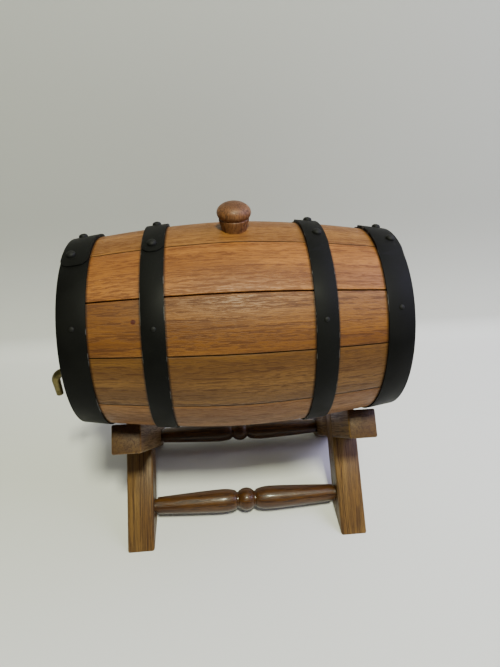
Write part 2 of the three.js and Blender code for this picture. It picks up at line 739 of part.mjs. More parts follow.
function addStand() {
  for (const [side, frameX] of [['left', -FRAME_SPACING], ['right', FRAME_SPACING]]) {
    place(stand, `${side}_bar_front_foot`, bar(frameX, 1), standWood);
    place(stand, `${side}_bar_back_foot`, bar(frameX, -1), standWood);
  }
  for (const [side, toward] of [['front', -1], ['back', 1]]) {
    const turnedRail = stretcher().translate(0, toward * stretcherY(), STRETCHER_HEIGHT);
    place(stand, `${side}_stretcher`, turnedRail, turnedWood);
  }
}

addStaves();
addHeads();
addHoops();
place(cask, 'bung', bung(), bungWood);
addTap();
addStand();

// The origin is the middle of the object's footprint, on the table.
const bounds = new THREE.Box3().setFromObject(object, true);
object.position.x = -(bounds.min.x + bounds.max.x) / 2;

export default object;
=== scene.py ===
"""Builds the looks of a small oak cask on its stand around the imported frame.

All places come from the frame's own boxes and joints. Lengths in this file are millimetres unless a
name says otherwise, and metres() turns a point in millimetres into one in Blender's metres.
Angles around the cask are in degrees, counted from the top towards the front, which is -Y.
"""

import json
import math
import types

import bpy
import bmesh
from mathutils import Euler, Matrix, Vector


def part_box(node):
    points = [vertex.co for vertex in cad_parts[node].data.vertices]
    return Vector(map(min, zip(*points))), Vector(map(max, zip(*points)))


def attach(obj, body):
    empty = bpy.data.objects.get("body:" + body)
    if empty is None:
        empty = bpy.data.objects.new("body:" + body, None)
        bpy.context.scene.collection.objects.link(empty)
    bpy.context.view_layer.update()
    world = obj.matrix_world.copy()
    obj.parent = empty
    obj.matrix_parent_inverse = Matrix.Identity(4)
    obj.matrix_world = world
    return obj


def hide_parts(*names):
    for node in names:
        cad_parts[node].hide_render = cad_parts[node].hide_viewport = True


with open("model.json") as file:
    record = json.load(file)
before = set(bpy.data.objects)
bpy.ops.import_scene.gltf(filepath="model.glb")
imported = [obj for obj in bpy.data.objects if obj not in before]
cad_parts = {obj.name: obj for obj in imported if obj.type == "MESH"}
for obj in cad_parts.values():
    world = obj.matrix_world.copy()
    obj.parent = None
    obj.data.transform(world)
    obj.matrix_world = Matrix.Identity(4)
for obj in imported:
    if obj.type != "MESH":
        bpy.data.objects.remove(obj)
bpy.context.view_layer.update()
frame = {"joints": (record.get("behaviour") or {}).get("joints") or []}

bl_info = {
    "name": "Oak Cask on a Stand",
    "version": (1, 0, 0),
    "blender": (4, 5, 0),
    "location": "View3D > Sidebar > Cask",
    "description": "Builds a small oak cask with its hoops, bung, tap and crossed stand",
    "category": "Object",
}

MM = 0.001
OVERCUT = 5  # mm that a cutting tool reaches past what it cuts
SMALL_OVERCUT = 3  # the same for the bung hole and for the tap's washer and nut
HOLE_STEPS = 32
HOLE_GAP = 0.15

# ---- Places read from the frame -----------------------------------------------------------------


def box_mm(node):
    """A CAD node's lowest and highest corners, in millimetres."""
    low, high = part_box(node)
    return low / MM, high / MM


def middle_mm(node):
    low, high = box_mm(node)
    return (low + high) / 2


def joint_place(name):
    """A hinge's position from the frame, in millimetres."""
    joint = next(j for j in frame["joints"] if j["name"] == name)
    return Vector(joint["pos_m"]) / MM


AXIS_Z = middle_mm("right_head_middle_board").z
CASK_X = middle_mm("stave_07").x
HALF_LENGTH = (box_mm("stave_07")[1].x - box_mm("stave_07")[0].x) / 2
HEAD_OUTER = box_mm("right_head_middle_board")[1].x - CASK_X
HEAD_INNER = box_mm("right_head_middle_board")[0].x - CASK_X
HEAD_RADIUS = (box_mm("right_head_middle_board")[1].z - box_mm("right_head_middle_board")[0].z) / 2
BUNG_TOP = box_mm("bung")[1].z - AXIS_Z
BUNG_BOTTOM = box_mm("bung")[0].z - AXIS_Z
VALVE = joint_place("tap_turn")
STAND_X = (middle_mm("left_bar_front_foot").x + middle_mm("right_bar_front_foot").x) / 2


# ---- Sizes and colours that a user would change --------------------------------------------------


def linear(hex_colour):
    """An sRGB hex colour as linear red, green, blue and alpha."""
    parts = [int(hex_colour[i : i + 2], 16) / 255 for i in (1, 3, 5)]
    return [p / 12.92 if p <= 0.04045 else ((p + 0.055) / 1.055) ** 2.4 for p in parts] + [1.0]


def tinted(colour, red, green=None, blue=None):
    """A linear colour made lighter or darker, by one factor or by one for each channel."""
    factors = (red, green or red, blue or red)
    return [channel * factor for channel, factor in zip(colour, factors)] + [1.0]


def length_prop(name, description, default_mm):
    return bpy.props.FloatProperty(
        name=name, description=description, default=default_mm * MM, min=0.0, subtype="DISTANCE"
    )


def colour_prop(name, description, hex_colour):
    return bpy.props.FloatVectorProperty(
        name=name,
        description=description,
        default=linear(hex_colour),
        size=4,
        subtype="COLOR",
        min=0,
        max=1,
    )


class CaskSizes(bpy.types.PropertyGroup):
    """Driving sizes of the cask"""

    bilge_radius: length_prop("Bilge radius", "Outside radius at the middle", 68.0)
    end_drop: length_prop("End drop", "How much smaller the radius is at the ends", 9.6)
    bulge_power: bpy.props.FloatProperty(
        name="Bulge power", description="Shape of the stave's curve from middle to end", default=1.7
    )
    stave_wall: length_prop("Stave wall", "Thickness of a stave", 12.0)
    first_joint: bpy.props.FloatProperty(
        name="First joint",
        description="Angle of the first joint between two staves, from the top of the cask",
        default=math.radians(-16),
        subtype="ANGLE",
    )
    stave_round: length_prop("Stave round", "Rounding of a stave's long edges", 0.35)
    hoop_wall: length_prop("Hoop wall", "Thickness of the hoop strip", 1.0)
    rivet_radius: length_prop("Rivet radius", "Radius of a rivet's head", 2.8)
    rivet_height: length_prop("Rivet height", "Height of a rivet's head", 2.1)


class StandSizes(bpy.types.PropertyGroup):
    """Driving sizes of the stand"""

    bar_width: length_prop("Bar width", "Width of a square bar", 19.6)
    bar_round: length_prop("Bar round", "Rounding of a bar's long edges", 1.3)
    upper_arm: length_prop("Upper arm", "From the crossing to the end of an upper arm", 61.0)
    tenon_radius: length_prop("Tenon radius", "Radius of a stretcher's tenon", 5.0)


class CaskColours(bpy.types.PropertyGroup):
    """Colours of each finish"""

    oak_light: colour_prop("Oak light", "Early wood of the staves", "#976229")
    oak_mid: colour_prop("Oak mid", "Late wood of the staves", "#7A4B1C")
    oak_grain: colour_prop("Oak grain", "Open grain of the staves", "#592F09")
    stand_light: colour_prop("Stand light", "Early wood of the stand", "#785B30")
    stand_mid: colour_prop("Stand mid", "Late wood of the stand", "#5D4120")
    stand_grain: colour_prop("Stand grain", "Open grain of the stand", "#2E180A")
    hoop_paint: colour_prop("Hoop paint", "Black paint on the hoops", "#070706")
    brass: colour_prop("Brass", "Tarnished brass of the tap", "#6E6440")


def in_mm(group):
    """The sizes of a group by name, with lengths in millimetres and angles in degrees."""
    sizes = types.SimpleNamespace()
    for name in group.__annotations__:
        value = getattr(group, name)
        unit = group.bl_rna.properties[name].unit
        if unit == "LENGTH":
            value /= MM
        elif unit == "ROTATION":
            value = math.degrees(value)
        setattr(sizes, name, value)
    return sizes


def cask_sizes():
    return in_mm(bpy.context.scene.cask_sizes)


def stand_sizes():
    return in_mm(bpy.context.scene.stand_sizes)


# ---- Making meshes ------------------------------------------------------------------------------

SMOOTH_BELOW = 35  # degrees between two faces that are shaded as one surface


def metres(point):
    return Vector(point) * MM


def begin():
    """Leaves edit mode and deselects everything, so that a new primitive is worked on alone."""
    if bpy.context.mode != "OBJECT":
        bpy.ops.object.mode_set(mode="OBJECT")
    bpy.ops.object.select_all(action="DESELECT")


def select_only(piece):
    begin()
    piece.select_set(True)
    bpy.context.view_layer.objects.active = piece


def edit(piece, selected="DESELECT"):
    """Enters edit mode on one piece, with nothing in it selected, or all of it."""
    select_only(piece)
    bpy.ops.object.mode_set(mode="EDIT")
    bpy.ops.mesh.select_all(action=selected)


def draw(points):
    """Draws a chain of edges by extruding one vertex from point to point, and stays in edit mode."""
    begin()
    bpy.ops.mesh.primitive_plane_add(size=MM, enter_editmode=True)
    bpy.ops.mesh.merge(type="CENTER")
    places = [metres(p) for p in points]
    bpy.ops.transform.translate(value=places[0])
    for here, there in zip(places, places[1:]):
        bpy.ops.mesh.extrude_region_move(TRANSFORM_OT_translate={"value": there - here})
    bpy.ops.mesh.select_all(action="SELECT")


def close_mesh():
    """Merges doubles and turns the faces outwards."""
    bpy.ops.mesh.select_all(action="SELECT")
    bpy.ops.mesh.remove_doubles(threshold=1e-6)
    bpy.ops.mesh.normals_make_consistent(inside=False)
    bpy.ops.object.mode_set(mode="OBJECT")
    return bpy.context.object


def flip_faces(piece):
    """Turns the faces of an open sheet to its other side."""
    edit(piece, "SELECT")
    bpy.ops.mesh.flip_normals()
    bpy.ops.object.mode_set(mode="OBJECT")


def turn(points, centre, axis, steps):
    """A turned solid: a profile that starts and ends on the axis, spun once round it."""
    draw(points)
    bpy.ops.mesh.spin(steps=steps, angle=2 * math.pi, center=metres(centre), axis=axis)
    return close_mesh()


def turned_on_z(profile, x, y, base_z, steps):
    """A turned solid standing at x, y, from [height above base_z, radius] pairs."""
    points = [(x + radius, y, base_z + height) for height, radius in profile]
    return turn(points, (x, y, 0), (0, 0, 1), steps)


def turned_on_x(profile, y, z, base_x, steps):
    """A turned solid lying along X, from [distance from base_x, radius] pairs."""
    points = [(base_x + along, y, z + radius) for along, radius in profile]
    return turn(points, (0, y, z), (1, 0, 0), steps)


def apply_modifier(piece, kind, **settings):
    """Adds one modifier to the piece, sets it and applies it."""
    select_only(piece)
    bpy.ops.object.modifier_add(type=kind)
    modifier = piece.modifiers[-1]
    for name, value in settings.items():
        setattr(modifier, name, value)
    bpy.ops.object.modifier_apply(modifier=modifier.name)


def round_edges(piece, width, segments=2, sharper_than=35):
    """Rounds the edges that are sharper than an angle in degrees."""
    limit = math.radians(sharper_than)
    settings = {"width": width * MM, "segments": segments, "limit_method": "ANGLE", "angle_limit": limit}
    apply_modifier(piece, "BEVEL", **settings)


def carve(piece, tool, operation="DIFFERENCE"):
    """Cuts, joins or intersects the piece with a tool, and removes the tool."""
    apply_modifier(piece, "BOOLEAN", object=tool, operation=operation, solver="EXACT")
    bpy.data.objects.remove(tool)


def copy_of(piece):
    """A copy with its own mesh."""
    select_only(piece)
    bpy.ops.object.duplicate(linked=False)
    return bpy.context.object


def settle(piece):
    """Puts the piece's place into its mesh."""
    select_only(piece)
    bpy.ops.object.transform_apply(location=True, rotation=True, scale=True)


def finish(piece, name, body, finish_material, node):
    """Names a piece, gives it its material and puts it in a CAD node's place in the frame."""
    settle(piece)
    bpy.ops.object.shade_smooth_by_angle(angle=math.radians(SMOOTH_BELOW))
    piece.name = name
    piece.data.name = name
    piece.data.materials.clear()
    piece.data.materials.append(finish_material)
    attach(piece, body)
    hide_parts(node)


# ---- Materials ----------------------------------------------------------------------------------


def new_material(name):
    material = bpy.data.materials.new(name)
    material.use_nodes = True
    material.node_tree.nodes.clear()
    return material, material.node_tree


def add(tree, kind, inputs=None, **settings):
    """Adds a node, sets its properties, and fills or links its inputs.

    A node given as an input is linked by the first of its outputs that is in use.
    """
    node = tree.nodes.new(kind)
    for name, value in settings.items():
        setattr(node, name, value)
    for socket, value in (inputs or {}).items():
        if isinstance(value, bpy.types.Node):
            value = next(output for output in value.outputs if output.enabled)
        if isinstance(value, bpy.types.NodeSocket):
            tree.links.new(value, node.inputs[socket])
        else:
            node.inputs[socket].default_value = value
    return node


def patches(
    tree, source, size, levels, shares=(0.0, 1.0), shift=(0, 0, 0), turned_by=(0, 0, 0), ragged=0.5
):
    """Cloudy patches of the given size in mm, which come in between two levels of the noise."""
    place = add(
        tree,
        "ShaderNodeMapping",
        {"Vector": source, "Location": metres(shift), "Rotation": turned_by, "Scale": metres(size)},
        vector_type="TEXTURE",
    )
    clouds = {"Vector": place, "Scale": 1.0, "Detail": 2.0, "Roughness": ragged}
    cloud = add(tree, "ShaderNodeTexNoise", clouds)
    low, high = levels
    start, end = shares
    return add(
        tree,
        "ShaderNodeMapRange",
        {"Value": cloud, "From Min": low, "From Max": high, "To Min": start, "To Max": end},
        interpolation_type="SMOOTHSTEP",
    )


def oak(
    name, colours, shift, turned_by=(0, 0, 0), bent=False, dash=6.0, polish=0.45, coat=0.0, knot=None
):
    """Oak, oiled or varnished: honey brown with close dark dashes of open grain along its length.

    Growth rings give bands about 2.5 mm apart; the pores in them show as dashes near 10 mm long.
    End grain drinks more oil and is darker. A bent stave carries its own coordinates, so that the
    grain follows the bend.
    """
    light, mid, grain = colours
    material, tree = new_material(name)
    source = add(tree, "ShaderNodeTexCoord").outputs["Object"]
    if bent:
        source = add(tree, "ShaderNodeAttribute", attribute_name="grain").outputs["Vector"]

    def along_grain(length, width, levels, shares=(0.0, 1.0), ragged=0.5):
        return patches(tree, source, (length, width, width), levels, shares, shift, turned_by, ragged)

    tone = along_grain(90, 13, (0.35, 0.65))
    rings = along_grain(140, 1.9, (0.38, 0.62))
    ring_shares = along_grain(140, 1.9, (0.38, 0.62), (0.45, 1.0))
    short_dashes = along_grain(dash, 0.6, (0.51, 0.57), (0.0, 0.9))
    long_dashes = along_grain(2 * dash, 0.8, (0.53, 0.59))
    pores = along_grain(3.5, 0.4, (0.5, 0.7), ragged=0.6)
    dashes = add(tree, "ShaderNodeMath", {0: short_dashes, 1: long_dashes}, operation="MAXIMUM")
    open_grain = add(tree, "ShaderNodeMath", {0: dashes, 1: ring_shares}, operation="MULTIPLY")

    axis = Euler(turned_by).to_matrix() @ Vector((1, 0, 0))
    stains = [
        (tone, 1.0, mid),
        (rings, 0.5, mid),
        (pores, 0.25, grain),
        (open_grain, 0.85, grain),
        (end_grain(tree, axis), 0.6, grain),
    ]
    if bent:
        # Dirt in the joints, and painted shade along the hoop edges.
        stains.append((joint_grime_and_hoop_shade(tree, source), 1.0, tinted(grain, 0.12)))
    if knot:
        stains.append((spot(tree, source, knot), 0.95, linear("#3A0A04")))
    base = light
    for place, strength, stain in stains:
        share = add(tree, "ShaderNodeMath", {0: place, 1: strength}, operation="MULTIPLY")
        base = add(tree, "ShaderNodeMix", {0: share, 6: base, 7: stain}, data_type="RGBA")

    half_pores = add(tree, "ShaderNodeMath", {0: pores, 1: -0.5}, operation="MULTIPLY")
    height = add(tree, "ShaderNodeMath", {0: half_pores, 1: open_grain}, operation="SUBTRACT")
    roughness = add(
        tree,
        "ShaderNodeMapRange",
        {"Value": height, "From Min": 0.0, "From Max": -1.2, "To Min": polish, "To Max": polish + 0.2},
    )
    bump = add(tree, "ShaderNodeBump", {"Height": height, "Strength": 0.4, "Distance": 0.12 * MM})
    surface = {
        "Base Color": base,
        "Roughness": roughness,
        "IOR": 1.5,
        "Specular IOR Level": 0.3,
        "Coat Weight": coat,
        "Coat Roughness": 0.15,
        "Normal": bump,
    }
    shader = add(tree, "ShaderNodeBsdfPrincipled", surface)
    add(tree, "ShaderNodeOutputMaterial", {"Surface": shader})
    return material


def end_grain(tree, axis):
    """One where the surface looks along the grain, either way, and nought on its sides."""
    normal = add(tree, "ShaderNodeNewGeometry").outputs["Normal"]
    along = add(tree, "ShaderNodeVectorMath", {0: normal, 1: axis}, operation="DOT_PRODUCT")
    either_way = add(tree, "ShaderNodeMath", {0: along}, operation="ABSOLUTE")
    return add(tree, "ShaderNodeMapRange", {"Value": either_way, "From Min": 0.75, "From Max": 0.95})


def spot(tree, source, knot):
    """A small round knot at a place along the stave and across it."""
    apart = add(tree, "ShaderNodeVectorMath", {0: source, 1: metres((*knot, 0))}, operation="DISTANCE")
    return add(
        tree,
        "ShaderNodeMapRange",
        {"Value": apart, "From Min": 0.9 * MM, "From Max": 1.8 * MM, "To Min": 1.0, "To Max": 0.0},
        interpolation_type="SMOOTHSTEP",
    )


def near_hoop_edge(tree, source, edges, full, gone):
    """One beside the given hoop edges, fading out between two distances in mm."""
    x = add(tree, "ShaderNodeSeparateXYZ", {"Vector": source}).outputs["X"]
    from_middle = add(tree, "ShaderNodeMath", {0: x}, operation="ABSOLUTE")
    nearest = None
    for edge in edges:
        past = add(tree, "ShaderNodeMath", {0: from_middle, 1: edge * MM}, operation="SUBTRACT")
        apart = add(tree, "ShaderNodeMath", {0: past}, operation="ABSOLUTE")
        if nearest:
            apart = add(tree, "ShaderNodeMath", {0: nearest, 1: apart}, operation="MINIMUM")
        nearest = apart
    return add(
        tree,
        "ShaderNodeMapRange",
        {"Value": nearest, "From Min": full * MM, "From Max": gone * MM, "To Min": 1.0, "To Max": 0.0},
        interpolation_type="SMOOTHSTEP",
    )


def joint_grime_and_hoop_shade(tree, source):
    """Where a stave is darkened: dirt in the joints, and painted shade in a line beside every hoop, where
    the hoop's edge stands over the wood.
    """
    edge = add(tree, "ShaderNodeAttribute", attribute_name="edge").outputs["Fac"]
    joint = add(
        tree,
        "ShaderNodeMapRange",
        {"Value": edge, "From Min": 0.15, "From Max": 0.6, "To Min": 0.9, "To Max": 0.0},
        interpolation_type="SMOOTHSTEP",
    )
    # Painted shade: a dark line on the wood along each hoop edge.
    beside = near_hoop_edge(tree, source, hoop_edges(), 0.3, 1.4)
    fainter = add(tree, "ShaderNodeMath", {0: beside, 1: 0.7}, operation="MULTIPLY")
    return add(tree, "ShaderNodeMath", {0: joint, 1: fainter}, operation="MAXIMUM")


def hoop_edges():
    """Distances from the cask's middle of the hoop edges that show against the wood."""
    quarter_low, quarter_high = box_mm("right_quarter_hoop")
    chime_low = box_mm("right_chime_hoop")[0]
    return [low.x - CASK_X for low in (quarter_low, quarter_high, chime_low)]


def black_paint(name, colour, sheen, worn_edges=()):
    """Matt black paint on rolled steel strip: near black with a faint wide sheen.

    It is rubbed to bright steel in places along the strip's edges.
    """
    material, tree = new_material(name)
    source = add(tree, "ShaderNodeTexCoord").outputs["Object"]
    cloud = patches(tree, source, (22, 22, 22), (0.35, 0.7))
    grit = patches(tree, source, (1.2, 1.2, 1.2), (0.0, 1.0), ragged=0.6)
    base = add(tree, "ShaderNodeMix", {0: cloud, 6: colour, 7: tinted(colour, 1.7)}, data_type="RGBA")
    paint = {
        "Base Color": base,
        "Roughness": patches(tree, source, (22, 22, 22), (0.3, 0.7), (0.55, 0.68)),
        "IOR": 1.5,
        "Specular IOR Level": sheen,
        "Normal": add(tree, "ShaderNodeBump", {"Height": grit, "Strength": 0.14, "Distance": 0.1 * MM}),
    }
    if worn_edges:
        from_middle = {"Vector": source, "Location": metres((CASK_X, 0, 0))}
        centred = add(tree, "ShaderNodeMapping", from_middle, vector_type="TEXTURE")
        rubbed = near_hoop_edge(tree, centred, worn_edges, 0.12, 0.25)
        rubbed_places = patches(tree, source, (8, 8, 8), (0.55, 0.68), (0.0, 0.8))
        worn = add(tree, "ShaderNodeMath", {0: rubbed, 1: rubbed_places}, operation="MULTIPLY")
        steel = {0: worn, 6: base, 7: linear("#6A6865")}
        paint["Metallic"] = worn
        paint["Base Color"] = add(tree, "ShaderNodeMix", steel, data_type="RGBA")
    shader = add(tree, "ShaderNodeBsdfPrincipled", paint)
    add(tree, "ShaderNodeOutputMaterial", {"Surface": shader})
    return material


def tarnished_brass(name, colour):
    """Cast brass gone dull and olive with age, brighter where it is handled."""
    material, tree = new_material(name)
    source = add(tree, "ShaderNodeTexCoord").outputs["Object"]
    tarnish = patches(tree, source, (4, 4, 4), (0.38, 0.66), (0.0, 0.75), ragged=0.6)
    roughness = patches(tree, source, (4, 4, 4), (0.3, 0.7), (0.28, 0.5), ragged=0.6)
    sand_grain = patches(tree, source, (0.6, 0.6, 0.6), (0.0, 1.0))
    base = add(tree, "ShaderNodeMix", {0: tarnish, 6: colour, 7: tinted(colour, 0.4)}, data_type="RGBA")
    bump = add(tree, "ShaderNodeBump", {"Height": sand_grain, "Strength": 0.14, "Distance": 0.08 * MM})
    metal = {"Base Color": base, "Metallic": 1.0, "Roughness": roughness, "Normal": bump}
    shader = add(tree, "ShaderNodeBsdfPrincipled", metal)
    add(tree, "ShaderNodeOutputMaterial", {"Surface": shader})
    return material


def pale_paper(name, floor_colour, wall_shade_colour):
    """Matt pale paper: nearly white on the table, and painted greyer where it stands behind, as painted
    shade for the upright wall that the light from above reaches at a slant.

    Its back is clear, so that the cask can be looked at from behind.
    """
    material, tree = new_material(name)
    source = add(tree, "ShaderNodeTexCoord").outputs["Object"]
    height = add(tree, "ShaderNodeSeparateXYZ", {"Vector": source}).outputs["Z"]
    # Painted shade: the paper grows greyer with height, for the upright wall that gets less light.
    painted_wall_shade = add(
        tree,
        "ShaderNodeMapRange",
        {"Value": height, "From Min": 4 * MM, "From Max": 170 * MM},
        interpolation_type="SMOOTHSTEP",
    )
    base = add(tree, "ShaderNodeMix", {0: painted_wall_shade, 6: floor_colour, 7: wall_shade_colour}, data_type="RGBA")
    paper = add(tree, "ShaderNodeBsdfPrincipled", {"Base Color": base, "Roughness": 0.85})
    clear = add(tree, "ShaderNodeBsdfTransparent")
    behind = add(tree, "ShaderNodeNewGeometry").outputs["Backfacing"]
    surface = add(tree, "ShaderNodeMixShader", {0: behind, 1: paper, 2: clear})
    add(tree, "ShaderNodeOutputMaterial", {"Surface": surface})
    return material


UPWARDS = (0, -math.pi / 2, 0)  # turns a grain that runs along X to run up Z


def stave_colours():
    colours = bpy.context.scene.cask_colours
    return colours.oak_light, colours.oak_mid, colours.oak_grain


def stand_colours():
    colours = bpy.context.scene.cask_colours
    return colours.stand_light, colours.stand_mid, colours.stand_grain


# ---- Cask shape ---------------------------------------------------------------------------------


def stave_radius(x):
    """Outside radius of the cask at a distance from its middle."""
    sizes = cask_sizes()
    return sizes.bilge_radius - sizes.end_drop * abs(x / HALF_LENGTH) ** sizes.bulge_power


def stave_slope(x):
    return (stave_radius(x + 1) - stave_radius(x - 1)) / 2


def around(x, radius, angle):
    """A point on the cask: x from its middle, radius from its axis, angle from the top."""
    turned_by = math.radians(angle)
    return (CASK_X + x, -radius * math.sin(turned_by), AXIS_Z + radius * math.cos(turned_by))


def swing(angle, steps):
    """Spins the selection round the cask's axis, by an angle towards the front."""
    centre = metres((0, 0, AXIS_Z))
    bpy.ops.mesh.spin(steps=steps, angle=-math.radians(angle), center=centre, axis=(1, 0, 0))


# ---- Stage --------------------------------------------------------------------------------------

CAMERA_PLACE = (CASK_X - 14.5, -266.8, 326.5)
CAMERA_YAW = 5.16  # degrees towards +X from straight ahead
CAMERA_PITCH = 34.06  # degrees down
CAMERA_LENS = 25.17  # mm, on the sensor's 36 mm long side
BACKDROP_Y = 197
BACKDROP_ROUND = 22
BACKDROP_STEPS = 8
PAPER_REACH = 2500  # mm to each side, forwards and up
# Each lamp: the way it shines, its distance and width in metres, its watts and its colour
LAMPS = {
    "key_light": ((-0.075, 0.54, -1.0), 1.25, 0.16, 24.5, (0.96, 1.0, 0.75)),
    "right_fill": ((-0.75, 0.1, -0.55), 0.85, 0.6, 8.4, (0.67, 0.65, 1.0)),
}
ROOM_LIGHT = 0.06


class CASK_OT_stage(bpy.types.Operator):
    """Sets up the floor, the backdrop, the lights and the camera"""

    bl_idname = "cask.stage"
    bl_label = "Stage"

    def execute(self, context):
        self.floor()
        self.lights()
        self.camera()
        return {"FINISHED"}

    def floor(self):
        """A sheet of paper that lies on the table, curves up behind the cask and stands."""
        left = -PAPER_REACH
        centre_y = BACKDROP_Y - BACKDROP_ROUND
        curve = [
            (left, centre_y + BACKDROP_ROUND * math.sin(t), BACKDROP_ROUND * (1 - math.cos(t)))
            for t in quarter_turn(BACKDROP_STEPS)
        ]
        draw([(left, -PAPER_REACH, 0), *curve, (left, BACKDROP_Y, PAPER_REACH)])
        across = metres((2 * PAPER_REACH, 0, 0))
        bpy.ops.mesh.extrude_region_move(TRANSFORM_OT_translate={"value": across})
        floor = close_mesh()
        on_table = min(floor.data.polygons, key=lambda face: face.center.y)
        if on_table.normal.z < 0:
            flip_faces(floor)
        floor.name = "paper_sweep"
        bpy.ops.object.shade_smooth_by_angle(angle=math.radians(30))
        # The wall colour is the same paper with painted shade.
        floor.data.materials.append(pale_paper("pale_paper", linear("#D6D6D3"), linear("#ACACA9")))

    def lights(self):
        for name, settings in LAMPS.items():
            self.lamp(name, *settings)
        world = bpy.data.worlds.new("soft_room")
        world.use_nodes = True
        background = world.node_tree.nodes["Background"]
        background.inputs["Color"].default_value = linear("#F2F2F2")
        background.inputs["Strength"].default_value = ROOM_LIGHT
        bpy.context.scene.world = world

    def lamp(self, name, travel, distance, size, watts, colour):
        """A square softbox that shines along travel onto the middle of the cask."""
        travel = Vector(travel).normalized()
        target = metres((CASK_X, 0, AXIS_Z))
        light = bpy.data.lights.new(name, "AREA")
        light.shape = "SQUARE"
        light.size = size
        light.energy = watts
        light.color = colour
        lamp = bpy.data.objects.new(name, light)
        lamp.location = target - travel * distance
        lamp.rotation_euler = travel.to_track_quat("-Z", "Y").to_euler()
        bpy.context.scene.collection.objects.link(lamp)

    def camera(self):
        data = bpy.data.cameras.new("camera")
        data.sensor_fit = "VERTICAL"
        data.sensor_height = 36
        data.lens = CAMERA_LENS
        data.clip_start = 0.01
        camera = bpy.data.objects.new("camera", data)
        camera.location = metres(CAMERA_PLACE)
        camera.rotation_euler = (math.radians(90 - CAMERA_PITCH), 0, math.radians(-CAMERA_YAW))
        bpy.context.scene.collection.objects.link(camera)
        bpy.context.scene.camera = camera


# ---- Staves -------------------------------------------------------------------------------------

STAVE_WIDTHS = [29.2, 29.5, 28.6, 29.7, 31, 31, 31, 31, 31, 31, 29, 28]
JOINT_GAPS = [0.4, 0.3, 0.85, 0.55, 0.4, 0.35, 0.4, 0.3, 0.4, 0.35, 0.4, 0.35]  # mm, before each stave
STAVE_STEPS = 14
KNOT_STAVE = 2
KNOT = (-58.0, -3.5)  # mm along that stave from its middle, and across it
STAVE_STATIONS = 26
CHIME_WALL = 6
CHIME_BEVEL = 7
CROZE = (86.2, 89.8)  # edges of the groove that holds a head
CROZE_RADIUS = HEAD_RADIUS + 0.3
CROZE_MARGIN = 2  # from the croze to the nearest station of the bulge
# Brightness of each stave against the usual oak colour, in red, green and blue. Partly each stave's own
# tone, and partly painted shade: the third and fourth staves, which face down towards the front, are
# darkened for the light that reaches them at a slant.
STAVE_TONES_AND_SHADE = [
    (0.80, 0.86, 0.88),
    (0.92, 0.88, 0.80),
    (0.64, 0.64, 0.58),
    (0.54, 0.62, 0.57),
    (0.80, 0.86, 0.88),
    (0.70, 0.74, 0.72),
    (0.82, 0.80, 0.78),
    (0.66, 0.70, 0.68),
    (0.78, 0.80, 0.76),
    (0.86, 0.84, 0.82),
    (0.70, 0.72, 0.70),
    (0.80, 0.82, 0.80),
]


class CASK_OT_staves(bpy.types.Operator):
    """Builds the oak staves, each with its own grain"""

    bl_idname = "cask.staves"
    bl_label = "Staves"

    def execute(self, context):
        start = cask_sizes().first_joint
        for i, width in enumerate(STAVE_WIDTHS):
            stave = self.stave(start, width, JOINT_GAPS[i], JOINT_GAPS[(i + 1) % len(JOINT_GAPS)])
            if i == 0:
                carve(stave, bung_hole())
            # Each stave's colour holds its own tone and, on the lower front staves, painted shade.
            colours = [tinted(colour[:3], *STAVE_TONES_AND_SHADE[i]) for colour in stave_colours()]
            knot = KNOT if i == KNOT_STAVE else None
            shift = (37 * i, 53 * i, 29 * i)
            material = oak(f"oiled_oak_{i + 1:02d}", colours, shift, bent=True, knot=knot)
            name = f"stave_{i + 1:02d}"
            finish(stave, f"oak_{name}", "cask", material, name)
            self.store_grain(stave, start, width)
            start += width
        return {"FINISHED"}

    def store_grain(self, stave, start, width):
        """Stores where each vertex lies along the stave, across it and below its outside, and how
        far it is from the nearer joint."""
        grain = []
        edge = []
        for vertex in stave.data.vertices:
            x = vertex.co.x / MM - CASK_X
            y = vertex.co.y / MM
            z = vertex.co.z / MM - AXIS_Z
            radius = math.hypot(y, z)
            angle = (math.degrees(math.atan2(-y, z)) - start + 180) % 360 - 180
            across = math.radians(angle - width / 2) * stave_radius(x)
            half = math.radians(width / 2) * stave_radius(x)
            grain.extend(metres((x, across, radius - stave_radius(x))))
            edge.append(half - abs(across))
        stave.data.attributes.new("grain", "FLOAT_VECTOR", "POINT").data.foreach_set("vector", grain)
        stave.data.attributes.new("edge", "FLOAT", "POINT").data.foreach_set("value", edge)

    def outline(self):
        """The stave's long section: bulged outside, with chime bevel and croze inside."""
        wall = cask_sizes().stave_wall
        stations = [HALF_LENGTH * (2 * i / STAVE_STATIONS - 1) for i in range(STAVE_STATIONS + 1)]
        outside = [(x, stave_radius(x)) for x in stations]
        between_grooves = CROZE[0] - CROZE_MARGIN
        inside = [(x, stave_radius(x) - wall) for x in reversed(stations) if abs(x) < between_grooves]
        bevel_x = HALF_LENGTH - CHIME_BEVEL
        right_end = [
            (HALF_LENGTH, stave_radius(HALF_LENGTH) - CHIME_WALL),
            (bevel_x, stave_radius(bevel_x) - wall),
            (CROZE[1], stave_radius(CROZE[1]) - wall),
            (CROZE[1], CROZE_RADIUS),
            (CROZE[0], CROZE_RADIUS),
            (CROZE[0], stave_radius(CROZE[0]) - wall),
        ]
        left_end = [(-x, radius) for x, radius in reversed(right_end)]
        return outside + right_end + inside + left_end

    def stave(self, start, width, gap_before, gap_after):
        """One stave; each gap is the whole opening of a joint, shared with the next stave."""
        sizes = cask_sizes()
        before, after = (math.degrees(gap / 2 / sizes.bilge_radius) for gap in (gap_before, gap_after))
        draw([around(x, radius, start + before) for x, radius in self.outline()])
        bpy.ops.mesh.edge_face_add()
        swing(width - before - after, STAVE_STEPS)
        stave = close_mesh()
        round_edges(stave, sizes.stave_round, sharper_than=50)
        return stave


# ---- Heads --------------------------------------------------------------------------------------

HEAD_SHOULDER = HEAD_RADIUS - 4
HEAD_STEPS = 96
INNER_BEVEL_DEPTH = 2.4
INNER_BEVEL_WIDTH = 7
OUTER_BEVEL_DEPTH = 2.2
OUTER_BEVEL_WIDTH = 4
RIM_DRAFT = 0.3


